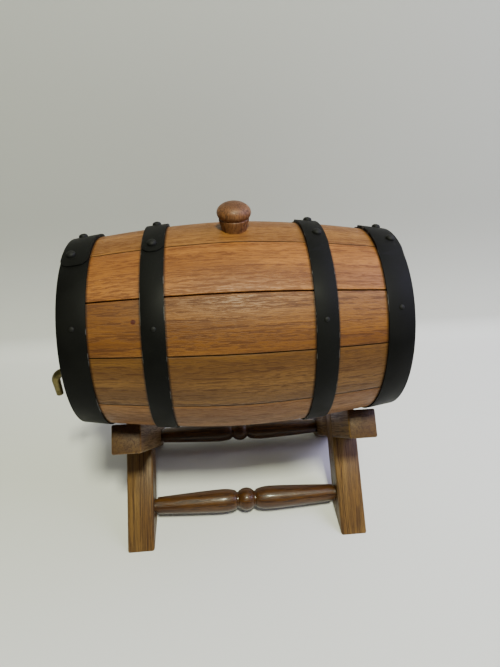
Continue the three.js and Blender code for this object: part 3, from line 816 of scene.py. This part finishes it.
class CASK_OT_heads(bpy.types.Operator):
    """Builds the boards of both heads, bevelled to sit in the croze"""

    bl_idname = "cask.heads"
    bl_label = "Heads"

    def execute(self, context):
        for side, sign in (("left", -1), ("right", 1)):
            for i, place in enumerate(("front", "middle", "back")):
                node = f"{side}_head_{place}_board"
                board = self.board(node, sign)
                if node == "left_head_middle_board":
                    carve(board, self.tap_hole())
                round_edges(board, 0.4)
                shift = (61 * i + 17 * sign, 41 * i, 23 * i + 7 * sign)
                material = oak(f"planed_oak_{side}_{place}", stave_colours(), shift, UPWARDS, polish=0.55)
                finish(board, f"oak_{node}", "cask", material, node)
        return {"FINISHED"}

    def board(self, node, sign):
        """A slice of the whole head, cut along the board's two edges."""
        rim_outer = HEAD_OUTER - OUTER_BEVEL_DEPTH
        profile = [
            (HEAD_INNER, 0),
            (HEAD_INNER, HEAD_RADIUS - INNER_BEVEL_WIDTH),
            (HEAD_INNER + INNER_BEVEL_DEPTH, HEAD_RADIUS),
            (rim_outer - RIM_DRAFT, HEAD_RADIUS),
            (rim_outer, HEAD_SHOULDER),
            (HEAD_OUTER, HEAD_SHOULDER - OUTER_BEVEL_WIDTH),
            (HEAD_OUTER, 0),
        ]
        board = turned_on_x([(sign * x, r) for x, r in profile], 0, AXIS_Z, CASK_X, HEAD_STEPS)
        low, high = box_mm(node)
        for y, keeps_above in ((low.y, True), (high.y, False)):
            is_joint = abs(y) < HEAD_SHOULDER
            if is_joint:
                slice_flat(board, (0, y, 0), (0, 1, 0), clear_inner=keeps_above)
        return board

    def tap_hole(self):
        outside = -HEAD_OUTER - OVERCUT
        inside = -HEAD_INNER + OVERCUT
        radius = TAP_SHANK + TAP_HOLE_GAP
        profile = [(outside, 0), (outside, radius), (inside, radius), (inside, 0)]
        return turned_on_x(profile, 0, VALVE.z, CASK_X, HOLE_STEPS)


def slice_flat(piece, point, normal, clear_inner):
    """Cuts a piece with a plane, clears one side and closes the cut."""
    edit(piece, "SELECT")
    bpy.ops.mesh.bisect(
        plane_co=metres(point),
        plane_no=normal,
        use_fill=True,
        clear_inner=clear_inner,
        clear_outer=not clear_inner,
    )
    bpy.ops.object.mode_set(mode="OBJECT")


# ---- Hoops --------------------------------------------------------------------------------------

# Each hoop: its name, the angle of its lap's cut edge and the angle where the lap ends
HOOPS = [
    ("left_chime", 20.0, -28.0),
    ("left_quarter", 17.0, -28.0),
    ("right_quarter", -27.0, 14.0),
    ("right_chime", -27.0, 14.0),
]
HOOP_STEPS = 120
HOOP_SEAT = 0.05
HOOP_ROUND = 0.22
LAP_FIRST_STEP = 6.2  # degrees from the cut edge, over which its corners are rounded
LAP_STEPS = 16
LAP_RAMP = 7.0  # degrees over which the lap comes down
LAP_CORNER = 5.6
LAP_CORNER_STEPS = 8
LAP_SUNK = 0.2  # how far the lap reaches into the ring that it is joined to


class CASK_OT_hoops(bpy.types.Operator):
    """Builds the riveted steel hoops, each doubled at its lap"""

    bl_idname = "cask.hoops"
    bl_label = "Hoops"

    def execute(self, context):
        edges = [*hoop_edges(), HALF_LENGTH]
        paint = black_paint("black_hoop_paint", context.scene.cask_colours.hoop_paint, 0.1, edges)
        for name, lap_edge, lap_end in HOOPS:
            node = f"{name}_hoop"
            low, high = box_mm(node)
            edges = (low.x - CASK_X, high.x - CASK_X)
            hoop = self.ring(edges)
            carve(hoop, self.lap(edges, lap_edge, lap_end), "UNION")
            round_edges(hoop, HOOP_ROUND, sharper_than=40)
            finish(hoop, f"steel_{node}", "cask", paint, node)
        return {"FINISHED"}

    def section(self, edges, inner, outer, angle):
        """The strip's cross-section, at two heights above the staves."""
        low, high = edges
        corners = [(low, inner), (high, inner), (high, outer), (low, outer)]
        return [around(x, stave_radius(x) + height, angle) for x, height in corners]

    def ring(self, edges):
        wall = cask_sizes().hoop_wall
        draw(self.section(edges, HOOP_SEAT, HOOP_SEAT + wall, 180))
        bpy.ops.mesh.edge_face_add()
        bpy.ops.mesh.delete(type="ONLY_FACE")
        bpy.ops.mesh.select_all(action="SELECT")
        swing(360, HOOP_STEPS)
        return close_mesh()

    def lap(self, edges, lap_edge, lap_end):
        """The outer layer: a rounded cut end, the lap itself, and a ramp down past the inner end."""
        wall = cask_sizes().hoop_wall
        sunk = HOOP_SEAT + wall - LAP_SUNK
        towards = math.copysign(1, lap_end - lap_edge)
        draw(self.section(edges, sunk, HOOP_SEAT + 2 * wall, lap_edge))
        bpy.ops.mesh.edge_face_add()
        swing(towards * LAP_FIRST_STEP, 1)
        swing(lap_end - lap_edge - towards * LAP_FIRST_STEP, LAP_STEPS)
        swing(towards * LAP_RAMP, 1)
        lap = close_mesh()
        self.lower_ramp(lap, edges, lap_end + towards * LAP_RAMP, wall)
        self.round_corners(lap, lap_edge)
        return lap

    def lower_ramp(self, lap, edges, angle, wall):
        """Brings the outer corners at the ramp's end down into the ring."""
        select_near(lap, self.section(edges, HOOP_SEAT + 2 * wall, HOOP_SEAT + 2 * wall, angle))
        inwards = Vector(around(0, 0, 0)) - Vector(around(0, 1, angle))
        bpy.ops.transform.translate(value=metres(inwards * (wall + LAP_SUNK / 2)))
        bpy.ops.object.mode_set(mode="OBJECT")

    def round_corners(self, lap, lap_edge):
        """Rounds the two corners of the cut end, as a cooper snips them."""
        turned_by = math.radians(lap_edge)
        end_face = Vector((0, -math.cos(turned_by), -math.sin(turned_by)))
        radial = Vector((0, -math.sin(turned_by), math.cos(turned_by)))
        edit(lap)
        bpy.ops.mesh.select_mode(type="EDGE")
        bpy.ops.mesh.select_all(action="DESELECT")
        mesh = bmesh.from_edit_mesh(lap.data)
        for edge in mesh.edges:
            direction = (edge.verts[1].co - edge.verts[0].co).normalized()
            at_end = any(abs(face.normal.dot(end_face)) > 0.99 for face in edge.link_faces)
            if at_end and abs(direction.dot(radial)) > 0.9:
                edge.select_set(True)
        bmesh.update_edit_mesh(lap.data)
        bpy.ops.mesh.bevel(offset=LAP_CORNER * MM, segments=LAP_CORNER_STEPS, affect="EDGES")
        bpy.ops.mesh.select_mode(type="VERT")
        bpy.ops.object.mode_set(mode="OBJECT")


def select_near(piece, points):
    """Selects, in edit mode, the vertices at the given points in millimetres."""
    edit(piece)
    mesh = bmesh.from_edit_mesh(piece.data)
    targets = [metres(p) for p in points]
    for vertex in mesh.verts:
        vertex.select_set(any((vertex.co - t).length < 0.05 * MM for t in targets))
    bmesh.update_edit_mesh(piece.data)


# ---- Rivets and nails ---------------------------------------------------------------------------

RIVET_RIM = 0.35
NAIL_RADIUS = 1.5
NAIL_HEIGHT = 0.7
NAIL_RIM = 0.1
STUB_LENGTH = 1.2  # of shank below a head
STUB_SHARE = 0.45  # of the head's radius
HEAD_SUNK = 0.1


class CASK_OT_fasteners(bpy.types.Operator):
    """Builds the domed rivets of the laps and the nails that hold the hoops"""

    bl_idname = "cask.fasteners"
    bl_label = "Rivets and nails"

    def execute(self, context):
        sizes = cask_sizes()
        paint = black_paint("black_rivet_paint", linear("#0B0B0A"), 0.2)
        rivet = self.pin(sizes.rivet_radius, sizes.rivet_height, RIVET_RIM)
        nail = self.pin(NAIL_RADIUS, NAIL_HEIGHT, NAIL_RIM)
        for name, _, _ in HOOPS:
            for node in (f"{name}_front_rivet", f"{name}_back_rivet"):
                self.place(rivet, node, 2 * sizes.hoop_wall, paint)
            self.place(nail, f"{name}_nail", sizes.hoop_wall, paint)
        bpy.data.objects.remove(rivet)
        bpy.data.objects.remove(nail)
        return {"FINISHED"}

    def pin(self, radius, height, rim):
        """A domed head with a short straight rim, and a stub of shank below it."""
        shank = radius * STUB_SHARE
        dome = [(rim + (height - rim) * math.sin(t), radius * math.cos(t)) for t in quarter_turn(7)]
        stub = [(-STUB_LENGTH, 0), (-STUB_LENGTH, shank), (-HEAD_SUNK, shank), (-HEAD_SUNK, radius)]
        profile = [*stub, *dome[:-1], (height, 0)]
        return turned_on_z(profile, 0, 0, 0, 20)

    def place(self, pattern, node, depth, paint):
        """Sets a copy of the pattern on the hoop, square to it, where the CAD node is."""
        middle = middle_mm(node)
        x = middle.x - CASK_X
        angle = math.atan2(-middle.y, middle.z - AXIS_Z)
        pin = copy_of(pattern)
        seat = around(x, stave_radius(x) + HOOP_SEAT + depth, math.degrees(angle))
        pin.location = metres(seat)
        pin.rotation_euler = (angle, -math.atan(stave_slope(x)), 0)
        finish(pin, f"steel_{node}", "cask", paint, node)


def quarter_turn(steps):
    """Angles from 0 to a quarter turn, in radians."""
    return [math.pi / 2 * i / steps for i in range(steps + 1)]


# ---- Bung ---------------------------------------------------------------------------------------

BUNG_SEAT = 7.6
BUNG_TIP = 6.4
BUNG_NECK = 9.0
BUNG_CAP = 10.2
BUNG_CAP_HEIGHT = 6.3
BUNG_TIP_BEVEL = 0.6
BUNG_STEPS = 64
BUNG_HOLE_STEPS = 48
# The neck and the underside of the cap, as height from the cap's widest place, and radius
BUNG_COLLAR = [
    (-4.6, BUNG_NECK + 0.05),
    (-3.6, BUNG_NECK + 0.05),
    (-3.2, BUNG_NECK - 0.3),
    (-2.8, BUNG_NECK + 0.1),
    (-1.8, BUNG_CAP - 0.45),
    (-0.7, BUNG_CAP - 0.08),
]
BUNG_COLOURS = ("#845A38", "#6C4628", "#3A1F0E")


def bung_hole():
    """A tapered cutter a little wider than the bung."""
    surface = cask_sizes().bilge_radius
    taper = (BUNG_SEAT - BUNG_TIP) / (surface - BUNG_BOTTOM)
    low = BUNG_BOTTOM - SMALL_OVERCUT
    high = surface + SMALL_OVERCUT
    low_radius = BUNG_TIP + HOLE_GAP - SMALL_OVERCUT * taper
    high_radius = BUNG_SEAT + HOLE_GAP + SMALL_OVERCUT * taper
    profile = [(low, 0), (low, low_radius), (high, high_radius), (high, 0)]
    return turned_on_z(profile, CASK_X, 0, AXIS_Z, BUNG_HOLE_STEPS)


class CASK_OT_bung(bpy.types.Operator):
    """Builds the turned bung with its domed cap"""

    bl_idname = "cask.bung"
    bl_label = "Bung"

    def execute(self, context):
        surface = cask_sizes().bilge_radius
        cap = BUNG_TOP - BUNG_CAP_HEIGHT
        profile = [
            (BUNG_BOTTOM, 0),
            (BUNG_BOTTOM, BUNG_TIP - BUNG_TIP_BEVEL),
            (BUNG_BOTTOM + BUNG_TIP_BEVEL, BUNG_TIP),
            (surface - 1, BUNG_SEAT - 0.1),
            (surface + 2, BUNG_SEAT + 0.45),
        ]
        profile += [(cap + height, radius) for height, radius in BUNG_COLLAR]
        dome = quarter_turn(12)[:-1]
        profile += [(cap + BUNG_CAP_HEIGHT * math.sin(t), BUNG_CAP * math.cos(t)) for t in dome]
        profile.append((BUNG_TOP, 0))
        bung = turned_on_z(profile, CASK_X, 0, AXIS_Z, BUNG_STEPS)
        colours = [linear(colour) for colour in BUNG_COLOURS]
        material = oak("turned_bung_wood", colours, (11, 5, 3), UPWARDS, polish=0.42)
        finish(bung, "turned_bung", "bung", material, "bung")
        return {"FINISHED"}


# ---- Tap ----------------------------------------------------------------------------------------

TAP_SHANK = 5.3
TAP_HOLE_GAP = 0.2
TAP_FLANGE = 8.2
TAP_BEND = 8.0
TAP_SPOUT_WIDE = 2.9
TAP_SPOUT_NARROW = 2.5
TAP_BORE = 1.9
TAP_BORE_DEPTH = 9
TAP_PIPE = 3.5
TAP_STEPS = 48
# Flange and pipe, as distance out from the head, and radius
TAP_FLANGE_OUTLINE = [
    (0.1, TAP_SHANK),
    (0.1, TAP_FLANGE - 0.3),
    (0.5, TAP_FLANGE),
    (2.6, TAP_FLANGE),
    (3.2, TAP_FLANGE - 0.7),
    (4.4, 4.6),
    (5.6, 3.8),
    (9, TAP_PIPE),
]
# Barrel, as height from the bore, and radius
TAP_BARREL_OUTLINE = [
    (-9, 0),
    (-9, 5.7),
    (-8.5, 6.2),
    (-7.4, 6.2),
    (-6.6, 5.6),
    (6.2, 5.9),
    (7, 6.8),
    (8.5, 6.8),
    (9, 6.3),
    (9, 0),
]
# The hole that the plug turns in, and the plug itself with its neck
TAP_SEAT_OUTLINE = [(-12, 0), (-12, 3.95), (12, 4.55), (12, 0)]
TAP_PLUG_OUTLINE = [(-9.2, 2.0), (-9.2, 3.75), (9.3, 4.35), (10.2, 4.2), (10.8, 3.2), (13, 2.3)]
TAP_STUD = 2.0
TAP_STUD_BEVEL = 0.3
TAP_HANDLE = 2.75  # radius of its rounded ends
TAP_HANDLE_ROUND = 2.4  # length of each rounded end
TAP_HANDLE_TOP = 2.9  # from its middle line to the top of the tap


class CASK_OT_tap(bpy.types.Operator):
    """Builds the brass tap: body with spout, plug with T-handle, washer and nut"""

    bl_idname = "cask.tap"
    bl_label = "Tap"

    def execute(self, context):
        brass = tarnished_brass("tarnished_brass", context.scene.cask_colours.brass)
        body = self.body()
        finish(body, "brass_tap_body", "cask", brass, "tap_body")
        plug = self.plug()
        finish(plug, "brass_tap_plug", "tap_plug", brass, "tap_plug")
        washer = self.ring("tap_washer", 32, 0.2)
        finish(washer, "brass_tap_washer", "tap_plug", brass, "tap_washer")
        nut = self.ring("tap_nut", 6, 0.3)
        finish(nut, "brass_tap_nut", "tap_plug", brass, "tap_nut")
        return {"FINISHED"}

    def body(self):
        face = -HEAD_OUTER
        valve = VALVE.x - CASK_X
        inner_end = box_mm("tap_body")[1].x - CASK_X
        shank = [
            (inner_end, 0),
            (inner_end, TAP_SHANK - 1.1),
            (-HEAD_INNER, TAP_SHANK - 0.1),
            *[(face - out, radius) for out, radius in TAP_FLANGE_OUTLINE],
            (valve, TAP_PIPE),
            (valve, 0),
        ]
        body = turned_on_x(shank, 0, VALVE.z, CASK_X, TAP_STEPS)
        carve(body, turned_on_z(TAP_BARREL_OUTLINE, VALVE.x, 0, VALVE.z, TAP_STEPS), "UNION")
        carve(body, self.spout(), "UNION")
        carve(body, turned_on_z(TAP_SEAT_OUTLINE, VALVE.x, 0, VALVE.z, TAP_STEPS))
        round_edges(body, 0.25, sharper_than=45)
        return body

    def spout(self):
        """A round tube: straight out, round the bend, down and slightly narrower, bored at its end."""
        low = box_mm("tap_body")[0]
        spout_x = low.x + TAP_SPOUT_WIDE + 0.1
        bend_x = spout_x + TAP_BEND
        begin()
        bpy.ops.mesh.primitive_circle_add(
            vertices=32,
            radius=TAP_SPOUT_WIDE * MM,
            fill_type="NGON",
            location=metres((VALVE.x, 0, VALVE.z)),
            rotation=(0, math.pi / 2, 0),
        )
        bpy.ops.object.transform_apply(location=True, rotation=True, scale=True)
        bpy.ops.object.mode_set(mode="EDIT")
        bpy.ops.mesh.select_all(action="SELECT")
        self.push((bend_x - VALVE.x, 0, 0))
        centre = metres((bend_x, 0, VALVE.z - TAP_BEND))
        bpy.ops.mesh.spin(steps=14, angle=math.pi / 2, center=centre, axis=(0, 1, 0))
        drop = VALVE.z - TAP_BEND - low.z
        end = Vector((spout_x, 0, VALVE.z - TAP_BEND))
        for share in (0.35, 0.55, 0.1):
            end.z -= drop * share
            self.push((0, 0, -drop * share))
            narrower = 1 - (1 - TAP_SPOUT_NARROW / TAP_SPOUT_WIDE) * share
            bpy.ops.transform.resize(value=(narrower, narrower, 1), center_override=metres(end))
        bpy.ops.mesh.inset(thickness=(TAP_SPOUT_NARROW - TAP_BORE) * MM)
        self.push((0, 0, TAP_BORE_DEPTH))
        return close_mesh()

    def push(self, step):
        bpy.ops.mesh.extrude_region_move(TRANSFORM_OT_translate={"value": metres(step)})

    def plug(self):
        """A tapered plug on a stud, with a T-handle that has rounded, slightly swollen ends."""
        low, high = box_mm("tap_plug")
        handle_z = high.z - TAP_HANDLE_TOP - VALVE.z
        foot = low.z - VALVE.z
        stem = [
            (foot, 0),
            (foot, TAP_STUD - TAP_STUD_BEVEL),
            (foot + TAP_STUD_BEVEL, TAP_STUD),
            *TAP_PLUG_OUTLINE,
            (handle_z - 3, 2.2),
            (handle_z, 2.6),
            (handle_z, 0),
        ]
        plug = turned_on_z(stem, VALVE.x, 0, VALVE.z, 40)
        half = high.y
        rounded = half - TAP_HANDLE_ROUND
        grip = [
            (rounded + TAP_HANDLE_ROUND * math.cos(t), TAP_HANDLE * math.sin(t)) for t in quarter_turn(6)
        ]
        grip += [(half - 5, 2.6), (half * 0.45, 1.95), (half * 0.26, 1.9), (half * 0.12, 2.5), (0, 2.8)]
        grip += [(-along, radius) for along, radius in reversed(grip[:-1])]
        points = [(VALVE.x, along, VALVE.z + handle_z + radius) for along, radius in grip]
        centre = (VALVE.x, 0, VALVE.z + handle_z)
        handle = turn(points, centre, (0, 1, 0), 24)
        carve(plug, handle, "UNION")
        round_edges(plug, 0.2, sharper_than=45)
        return plug

    def ring(self, node, sides, rounding):
        """A flat ring or a nut round the plug's stud, with the CAD node's own size."""
        low, high = box_mm(node)
        radius = (high.y - low.y) / 2
        begin()
        bpy.ops.mesh.primitive_cylinder_add(
            vertices=sides,
            radius=radius * MM,
            depth=(high.z - low.z) * MM,
            location=metres((low + high) / 2),
            rotation=(0, 0, math.pi / 2 if sides == 6 else 0),
        )
        ring = bpy.context.object
        settle(ring)
        reach = SMALL_OVERCUT
        hole_radius = TAP_STUD + HOLE_GAP
        through = [(-reach, 0), (-reach, hole_radius), (reach, hole_radius), (reach, 0)]
        carve(ring, turned_on_z(through, VALVE.x, 0, (low.z + high.z) / 2, HOLE_STEPS))
        round_edges(ring, rounding)
        return ring


# ---- Stand --------------------------------------------------------------------------------------

LOWER_ARM = 90  # from the crossing down past the table, before the foot is cut level
BAR_CHAMFER = 1.8
STAND_FIT = 0.1  # clearance in the half laps and around the tenons
MORTISE_DEPTH = 12
MORTISE_MOUTH = 4  # how far the cutter stands out of the bar
# The stretcher's centre bead and the swell beside it, from the stretcher's middle
BEAD_RADIUS = 8.5
BEAD_HALF = 6.3
SWELL_START = 7.2
SWELL_TOP = 19.0
NECK_RADIUS = 5.7
SWELL_RADIUS = 8.6
TAPER_END_RADIUS = 6.2
TAPER_STEPS = 12
TAPER_POWER = 1.25
STRETCHER_STEPS = 56
STRETCHER_SHADE = (0.48, 0.35, 0.21)  # against the bars' colours


def crossing_z():
    """Height of the middle of the half-lap: the upper arm's end minus its length up the slope."""
    sizes = stand_sizes()
    top = box_mm("left_bar_front_foot")[1].z
    return top - (sizes.upper_arm + sizes.bar_width / 2 - BAR_CHAMFER) * math.sqrt(0.5)


class CASK_OT_frames(bpy.types.Operator):
    """Builds the stand's two frames of crossed bars, half-lapped where they cross"""

    bl_idname = "cask.frames"
    bl_label = "Crossed frames"

    def execute(self, context):
        for i, side in enumerate(("left", "right")):
            for j, (foot, lean) in enumerate((("front", 1), ("back", -1))):
                node = f"{side}_bar_{foot}_foot"
                bar = self.bar(node, lean)
                shift = (31 * i + 7, 47 * j + 19 * i, 13 * j)
                up_the_bar = (0, -math.pi / 4, lean * math.pi / 2)
                name = f"stained_oak_{side}_{foot}"
                material = oak(name, stand_colours(), shift, up_the_bar, dash=16, polish=0.42)
                finish(bar, f"oak_{node}", "stand", material, node)
        return {"FINISHED"}

    def bar(self, node, lean):
        sizes = stand_sizes()
        width = sizes.bar_width
        x = middle_mm(node).x
        z = crossing_z()
        slope = Vector((0, lean * math.sqrt(0.5), math.sqrt(0.5)))
        middle = Vector((x, 0, z)) + slope * (sizes.upper_arm - LOWER_ARM) / 2
        bar = self.beam(middle, (width, width, sizes.upper_arm + LOWER_ARM), lean)
        round_edges(bar, sizes.bar_round, segments=3, sharper_than=60)
        slice_flat(bar, (0, 0, 0), (0, 0, 1), clear_inner=True)
        lap_side = 0.5 * lean * (width - STAND_FIT)
        lap_place = Vector((x + lap_side, 0, z))
        carve(bar, self.beam(lap_place, (width, 2 * width, width + 2 * STAND_FIT), lean))
        inward = math.copysign(1, STAND_X - x)
        radius = sizes.tenon_radius + STAND_FIT
        reach = -inward * (MORTISE_DEPTH + MORTISE_MOUTH)
        mortise = [(0, 0), (0, radius), (reach, radius), (reach, 0)]
        mouth = x + inward * (width / 2 + MORTISE_MOUTH)
        stretcher = middle_mm("front_stretcher")
        carve(bar, turned_on_x(mortise, lean * stretcher.y, stretcher.z, mouth, HOLE_STEPS))
        round_edges(bar, 0.5, sharper_than=40)
        return bar

    def beam(self, middle, size, lean):
        """A square beam leaning in the frame's plane."""
        begin()
        bpy.ops.mesh.primitive_cube_add(size=1, location=metres(middle), scale=metres(size))
        beam = bpy.context.object
        beam.rotation_euler = (-lean * math.pi / 4, 0, 0)
        settle(beam)
        return beam


class CASK_OT_stretchers(bpy.types.Operator):
    """Builds the two turned stretchers with their centre beads"""

    bl_idname = "cask.stretchers"
    bl_label = "Stretchers"

    def execute(self, context):
        pattern = self.stretcher()
        stretcher_colours = [tinted(colour[:3], *STRETCHER_SHADE) for colour in stand_colours()]
        for i, side in enumerate(("front", "back")):
            node = f"{side}_stretcher"
            piece = copy_of(pattern)
            piece.location = metres(middle_mm(node))
            name = f"varnished_oak_{side}_stretcher"
            shift = (71 * i, 13 + 29 * i, 5)
            material = oak(name, stretcher_colours, shift, dash=14, polish=0.3, coat=0.22)
            finish(piece, f"turned_{node}", "stand", material, node)
        bpy.data.objects.remove(pattern)
        return {"FINISHED"}

    def stretcher(self):
        """A bead in the middle, a neck on each side of it, and a long taper to each tenon."""
        sizes = stand_sizes()
        low, high = box_mm("front_stretcher")
        end = (high.x - low.x) / 2
        frame_face = box_mm("right_bar_front_foot")[0].x - STAND_X
        bead_places = [BEAD_HALF * i / 8 for i in range(9)]
        bead = [(along, math.sqrt(BEAD_RADIUS**2 - along**2)) for along in bead_places]
        swell_length = SWELL_TOP - SWELL_START
        swell_height = SWELL_RADIUS - NECK_RADIUS
        swell = [
            (SWELL_START + swell_length * (1 - math.cos(t)), NECK_RADIUS + swell_height * math.sin(t))
            for t in quarter_turn(8)
        ]
        taper_end = frame_face - 2.0
        taper = []
        for i in range(1, TAPER_STEPS + 1):
            share = i / TAPER_STEPS
            along = SWELL_TOP + (taper_end - SWELL_TOP) * share
            taper.append((along, SWELL_RADIUS - (SWELL_RADIUS - TAPER_END_RADIUS) * share**TAPER_POWER))
        tenon = [(taper_end, sizes.tenon_radius), (end, sizes.tenon_radius), (end, 0)]
        half = bead + swell + taper + tenon
        mirrored = [(-along, radius) for along, radius in reversed(half[1:])]
        return turned_on_x(mirrored + half, 0, 0, 0, STRETCHER_STEPS)


# ---- Panel and registration ---------------------------------------------------------------------

OPERATORS = (
    CASK_OT_stage,
    CASK_OT_staves,
    CASK_OT_heads,
    CASK_OT_hoops,
    CASK_OT_fasteners,
    CASK_OT_bung,
    CASK_OT_tap,
    CASK_OT_frames,
    CASK_OT_stretchers,
)


class CASK_PT_panel(bpy.types.Panel):
    """Lists what can be built, with the sizes and colours that drive it"""

    bl_idname = "CASK_PT_panel"
    bl_label = "Oak cask"
    bl_space_type = "VIEW_3D"
    bl_region_type = "UI"
    bl_category = "Cask"

    def draw(self, context):
        layout = self.layout
        for group in (context.scene.cask_sizes, context.scene.stand_sizes, context.scene.cask_colours):
            column = layout.column(align=True)
            for name in group.__annotations__:
                column.prop(group, name)
        for operator in OPERATORS:
            layout.operator(operator.bl_idname)


CLASSES = (CaskSizes, StandSizes, CaskColours, *OPERATORS, CASK_PT_panel)


def register():
    for cls in CLASSES:
        bpy.utils.register_class(cls)
    bpy.types.Scene.cask_sizes = bpy.props.PointerProperty(type=CaskSizes)
    bpy.types.Scene.stand_sizes = bpy.props.PointerProperty(type=StandSizes)
    bpy.types.Scene.cask_colours = bpy.props.PointerProperty(type=CaskColours)


def unregister():
    del bpy.types.Scene.cask_colours
    del bpy.types.Scene.stand_sizes
    del bpy.types.Scene.cask_sizes
    for cls in reversed(CLASSES):
        bpy.utils.unregister_class(cls)


def main():
    register()
    bpy.ops.cask.stage()
    bpy.ops.cask.staves()
    bpy.ops.cask.heads()
    bpy.ops.cask.hoops()
    bpy.ops.cask.fasteners()
    bpy.ops.cask.bung()
    bpy.ops.cask.tap()
    bpy.ops.cask.frames()
    bpy.ops.cask.stretchers()
    begin()


if __name__ == "__main__":
    main()
